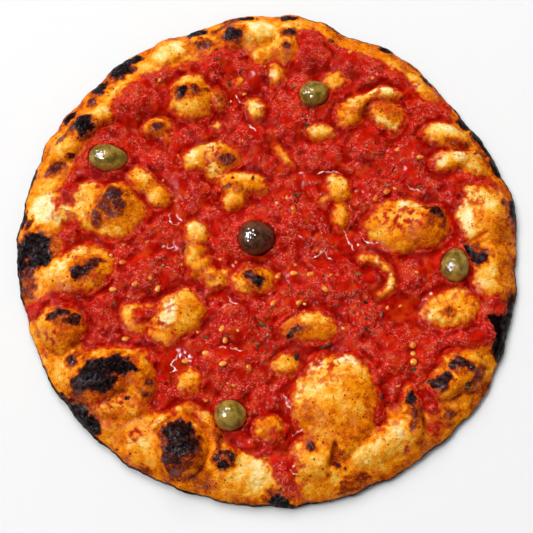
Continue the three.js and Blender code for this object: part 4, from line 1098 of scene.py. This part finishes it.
def spindle_faces(bands, sides):
    """Triangles over rings of points from one tip to the other, each tip a single point."""
    faces = []
    last = 1 + (bands - 1) * sides
    for side in range(sides):
        after = (side + 1) % sides
        faces.append((0, 1 + side, 1 + after))
        faces.append((last, last - sides + after, last - sides + side))
        for band in range(bands - 2):
            near = 1 + band * sides
            far = near + sides
            faces.append((near + side, far + side, far + after))
            faces.append((near + side, far + after, near + after))
    return faces


def make_olives():
    """Each olive's wrinkled skin, green or black."""
    green = olive_material("green_olive", *GREEN_OLIVE)
    black = olive_material("black_olive", *BLACK_OLIVE)
    faces = spindle_faces(OLIVE_BANDS, OLIVE_SIDES)
    for seed, (name, olive) in enumerate(OLIVES.items()):
        points = olive_points(olive, WRINKLES[name], 60 + 3 * seed)
        material, slot = (black, "black_olive") if name == "olive_black" else (green, "green_olive")
        piece(name + "_skin", points, faces, material, name)


# ---------- seeds and oregano ----------

SCATTER = np.random.default_rng(5)
SEED_HALF_LENGTH, SEED_HALF_WIDTH = 2.3, 1.5
MORE_SEEDS, MORE_SEEDS_REACH = 34, 135  # small ones, spread at random this far from the middle
SEED_BANDS, SEED_SIDES = 8, 12
SEED_FLATNESS = 0.6
SEED_POINT = 0.3
SEED_LIFT = 0.15
REST_REACH = 1.2
# Round seeds: x, y, half width.
BEADS = [
    (85, -57, 2.0), (85, -62, 1.6), (85, -67, 2.2), (-68, -18, 1.4), (-92, -3, 1.2), (17, -9, 1.0),
]
FLAKES, FLAKES_REACH = 620, 140
CLUSTERED_SHARE = 0.45
STRAY_SHARE = 0.12  # of the flakes that miss the sauce, those that stay
FLAKE_OUTLINE = ((-1, 0), (-0.35, 0.85), (0.5, 0.7), (1, 0.05), (0.45, -0.75), (-0.5, -0.7))
FLAKE_HALF_THICKNESS, FLAKE_FOLD, FLAKE_LIFT = 0.14, 0.3, 0.15
# Flakes that show plainly: x, y, half length, turn.
SHOWN_FLAKES = [
    (-24, 106, 2.5, 20), (-22, 103, 1.5, 70), (-16, 113, 2, 60), (-30, 120, 2, 0), (17, 104, 1.6, 40),
    (7, 78, 2, 90), (25, 79, 3, 70), (24, 82, 2, 10), (17, 34, 2.6, 5), (22, 36, 1.5, 40),
    (25, -25, 1.5, 20), (-3, -44, 3, -40), (-1, -46, 1.6, 20), (-27, -37, 1.5, 30), (50, 15, 2, 60),
    (47, 12, 1.4, 0), (-90, -33, 2.4, 35), (35, -57, 3.5, 30), (32, -59, 2, -20), (17, -64, 3, 60),
    (14, -50, 2, 20), (-5, -57, 2, 60), (-7, -55, 1.4, 0), (-10, -58, 1.6, 40), (5, -57, 1.6, 80),
    (-35, -52, 2, 0), (58, -47, 2, 60), (62, -50, 1.6, 10), (72, -64, 1.5, -30), (85, -71, 2, 20),
    (66, -87, 2.4, 80), (115, -80, 3, -65), (125, -64, 1.5, -60), (53, -15, 2.5, 0), (58, -32, 2, -30),
    (68, -40, 3, 80), (76, 50, 2, 60), (72, 40, 1.6, 0), (92, 40, 2, 30), (55, 28, 1.6, 50),
    (50, 50, 1.8, 0), (96, 33, 1.6, 70), (-63, -6, 2, 0), (-66, -9, 1.6, 50), (-49, 0, 2, 80),
    (-50, -8, 1.8, 20), (-48, 4, 1.6, 60), (20, -26, 1.8, 0),
]
# Where more oregano fell: x, y, spread.
FLAKE_CLUSTERS = [
    (-25, 105, 7), (-2, -45, 9), (-3, -60, 8), (-63, -6, 9), (58, 25, 8), (60, 55, 10), (25, 85, 9),
    (57, -33, 7), (-30, 75, 12), (-60, -65, 10), (10, 45, 14), (80, 50, 12), (20, -20, 12), (-75, -45, 10),
    (10, -58, 12), (85, -72, 4), (-50, -5, 6),
]


def off_olives(x, y, distance):
    """True where a point is further off than `distance`, which is 1 on an olive's outline."""
    return np.min([within(olive, x, y) for olive in OLIVES.values()], 0) > distance


def on_sauce(x, y):
    """True where a crumb lies on the sauce, clear of the olives."""
    return off_olives(x, y, 1.25) & (ragged_inside(x, y) > 1.5)


def scattered(reach):
    """A random place at most `reach` from the middle."""
    r = reach * math.sqrt(SCATTER.random())
    at = SCATTER.random() * 2 * math.pi
    return r * math.cos(at), r * math.sin(at)


def resting(x, y):
    """Height of the highest sauce close by."""
    steps = (-REST_REACH, 0, REST_REACH)
    return np.max([sauce_surface(x + dx, y + dy)[0] for dx in steps for dy in steps], 0)


def seed_places():
    """x, y, turn, half length and half width of each seed, those that show plainly first."""
    beads = [bead[:2] for bead in BEADS]
    seeds = [(x, y, turn, SEED_HALF_LENGTH, SEED_HALF_WIDTH) for x, y, turn in SEEDS if (x, y) not in beads]
    seeds += [(x, y, 0, half, half) for x, y, half in BEADS]
    shown = len(seeds)
    while len(seeds) < shown + MORE_SEEDS:
        x, y = scattered(MORE_SEEDS_REACH)
        if on_sauce(np.array([x]), np.array([y]))[0]:
            size = 0.9 + 0.6 * SCATTER.random()
            seeds.append((x, y, SCATTER.random() * 180, size, size * 0.7))
    return seeds


def make_seeds():
    """Flattened beads, pointed at one end, half sunk in the sauce."""
    seeds = seed_places()
    x, y = np.array(seeds)[:, :2].T
    z = np.mean([resting(x, y), sauce_surface(x, y)[0]], 0)
    points, faces = [], []
    for (x, y, turn, long, wide), height in zip(seeds, z):
        start = len(points)
        point = SEED_POINT if long > wide else 0
        shape = [(long, 0, 0)]
        for tip, at in rounds(SEED_BANDS, SEED_SIDES):
            slim = wide * math.sin(tip) * (1 - point * math.cos(tip))
            shape.append((long * math.cos(tip), slim * math.cos(at), SEED_FLATNESS * slim * math.sin(at)))
        shape.append((-long, 0, 0))
        for along, across, up in shape:
            out_x, out_y = turned(along, across, turn)
            points.append((x + out_x, y + out_y, height + SEED_LIFT * wide + up))
        faces += [tuple(start + k for k in face) for face in spindle_faces(SEED_BANDS, SEED_SIDES)]
    piece("tomato_seeds", points, faces, seed_material())


def flake_places():
    """x, y, half length and turn of each flake, those that show plainly first."""
    places = list(SHOWN_FLAKES)
    while len(places) < FLAKES:
        if SCATTER.random() < CLUSTERED_SHARE:
            cx, cy, spread = FLAKE_CLUSTERS[int(SCATTER.integers(len(FLAKE_CLUSTERS)))]
            x, y = cx + SCATTER.normal() * spread, cy + SCATTER.normal() * spread
        else:
            x, y = scattered(FLAKES_REACH)
        if on_sauce(np.array([x]), np.array([y]))[0] or SCATTER.random() < STRAY_SHARE:
            places.append((x, y, 0.35 + 0.8 * SCATTER.random() ** 2, SCATTER.random() * 360))
    return places


def make_oregano():
    """Thin bent flakes, each a lozenge with a fold along it."""
    places = np.array(flake_places())
    x, y = places[:, 0], places[:, 1]
    z = np.where(ragged_inside(x, y) > 0.5, sauce_surface(x, y)[0], loaf_top(x, y)) + FLAKE_LIFT
    points, faces, tones = [], [], []
    count = len(FLAKE_OUTLINE)
    for k in np.flatnonzero(off_olives(x, y, 1.15)):
        long, turn = places[k, 2:]
        wide = long * (0.25 + 0.35 * SCATTER.random())
        tilt = (SCATTER.random() - 0.5) * 0.8
        over = len(points)
        under = over + count + 1
        tone = np.clip(0.15 + 0.7 * SCATTER.random() - (0.25 if long > 1.8 else 0), 0, 1)
        tones += [tone] * (2 * count + 2)
        for side in (FLAKE_HALF_THICKNESS, -FLAKE_HALF_THICKNESS):
            points.append((x[k], y[k], z[k] + FLAKE_FOLD * wide + side))
            for along, across in FLAKE_OUTLINE:
                along *= long * (0.8 + 0.4 * SCATTER.random())
                across *= wide * (0.7 + 0.6 * SCATTER.random())
                out_x, out_y = turned(along, across, turn)
                points.append((x[k] + out_x, y[k] + out_y, z[k] + tilt * along + side))
        for i in range(1, count + 1):
            j = i % count + 1
            faces.append((over, over + j, over + i))
            faces.append((under, under + i, under + j))
            faces.append((over + i, over + j, under + j))
            faces.append((over + i, under + j, under + i))
    obj = piece("oregano_flakes", points, faces, oregano_material(), smooth=False)
    attribute(obj, "tone", tones)


# ---------- floor, light and camera ----------

CAMERA_ELEVATION = 76  # degrees above the floor
CAMERA_DISTANCE = 0.75
CAMERA_LENS, CAMERA_SENSOR = 85, 36
CAMERA_AIM = (0, -8, 6)  # mm, measured as the lists are
FLOOR_HALF = 3.0
# Place, size and power of each soft light that lights everything but the shine of wet places.
LIGHTS = {"top": ((-0.62, 2.75, 3.25), 3.0, 118), "left": ((-2.25, 0.42, 3.9), 2.0, 95)}
# Long panes that only wet places show.
GLEAMS = {"gleam_left": (-2.86, 0.42, 3.54), "gleam_right": (-2.24, 0.42, 3.9)}
GLEAM_LENGTH, GLEAM_WIDTH, GLEAM_POWER = 2.0, 0.5, 235
WORLD_LIGHT = 0.235


def make_floor():
    """A pale floor that the bread lies on."""
    mesh = bpy.data.meshes.new("floor")
    corners = [(x * FLOOR_HALF, y * FLOOR_HALF, 0) for x, y in ((-1, -1), (1, -1), (1, 1), (-1, 1))]
    mesh.from_pydata(corners, [], [(0, 1, 2, 3)])
    n = Nodes("floor")
    n.set(Base_Color=(0.9, 0.9, 0.9, 1), Roughness=0.9, Specular_IOR_Level=0.0)
    mesh.materials.append(n.material)
    floor = bpy.data.objects.new("floor", mesh)
    bpy.context.scene.collection.objects.link(floor)


def add_light(name, place, size, power, shines):
    """A soft light aimed at the bread, which either shines in wet places or lights everything else."""
    data = bpy.data.lights.new(name, "AREA")
    data.shape = "DISK"
    data.size = size
    data.energy = power
    light = bpy.data.objects.new(name, data)
    light.location = place
    light.visible_glossy = shines
    light.visible_diffuse = not shines
    light.rotation_euler = (-Vector(place)).to_track_quat("-Z", "Y").to_euler()
    bpy.context.scene.collection.objects.link(light)
    return data


def make_light():
    """Soft lights, panes that gleam in wet places, and even light from all round."""
    for name, (place, size, power) in LIGHTS.items():
        add_light(name, place, size, power, False)
    for name, place in GLEAMS.items():
        pane = add_light(name, place, GLEAM_LENGTH, GLEAM_POWER, True)
        pane.shape = "RECTANGLE"
        pane.size_y = GLEAM_WIDTH
    world = bpy.data.worlds.new("studio")
    world.use_nodes = True
    background = world.node_tree.nodes["Background"]
    background.inputs["Color"].default_value = (1, 1, 1, 1)
    background.inputs["Strength"].default_value = WORLD_LIGHT
    world.cycles_visibility.glossy = False
    bpy.context.scene.world = world
    bpy.context.scene.view_settings.view_transform = "Standard"


def make_camera():
    """The view, from the front and almost straight above."""
    data = bpy.data.cameras.new("camera")
    data.lens = CAMERA_LENS
    data.sensor_width = CAMERA_SENSOR
    camera = bpy.data.objects.new("camera", data)
    aim = Vector(((CAMERA_AIM[0] + SHIFT_X) * MM, (CAMERA_AIM[1] + SHIFT_Y) * MM, CAMERA_AIM[2] * MM))
    up = math.radians(CAMERA_ELEVATION)
    back = Vector((0, -math.cos(up), math.sin(up)))
    camera.location = aim + back * CAMERA_DISTANCE
    camera.rotation_euler = back.to_track_quat("Z", "Y").to_euler()
    bpy.context.scene.collection.objects.link(camera)
    bpy.context.scene.camera = camera


make_camera()
make_light()
make_floor()
make_crust()
make_sauce()
make_ridges()
make_olives()
make_seeds()
make_oregano()
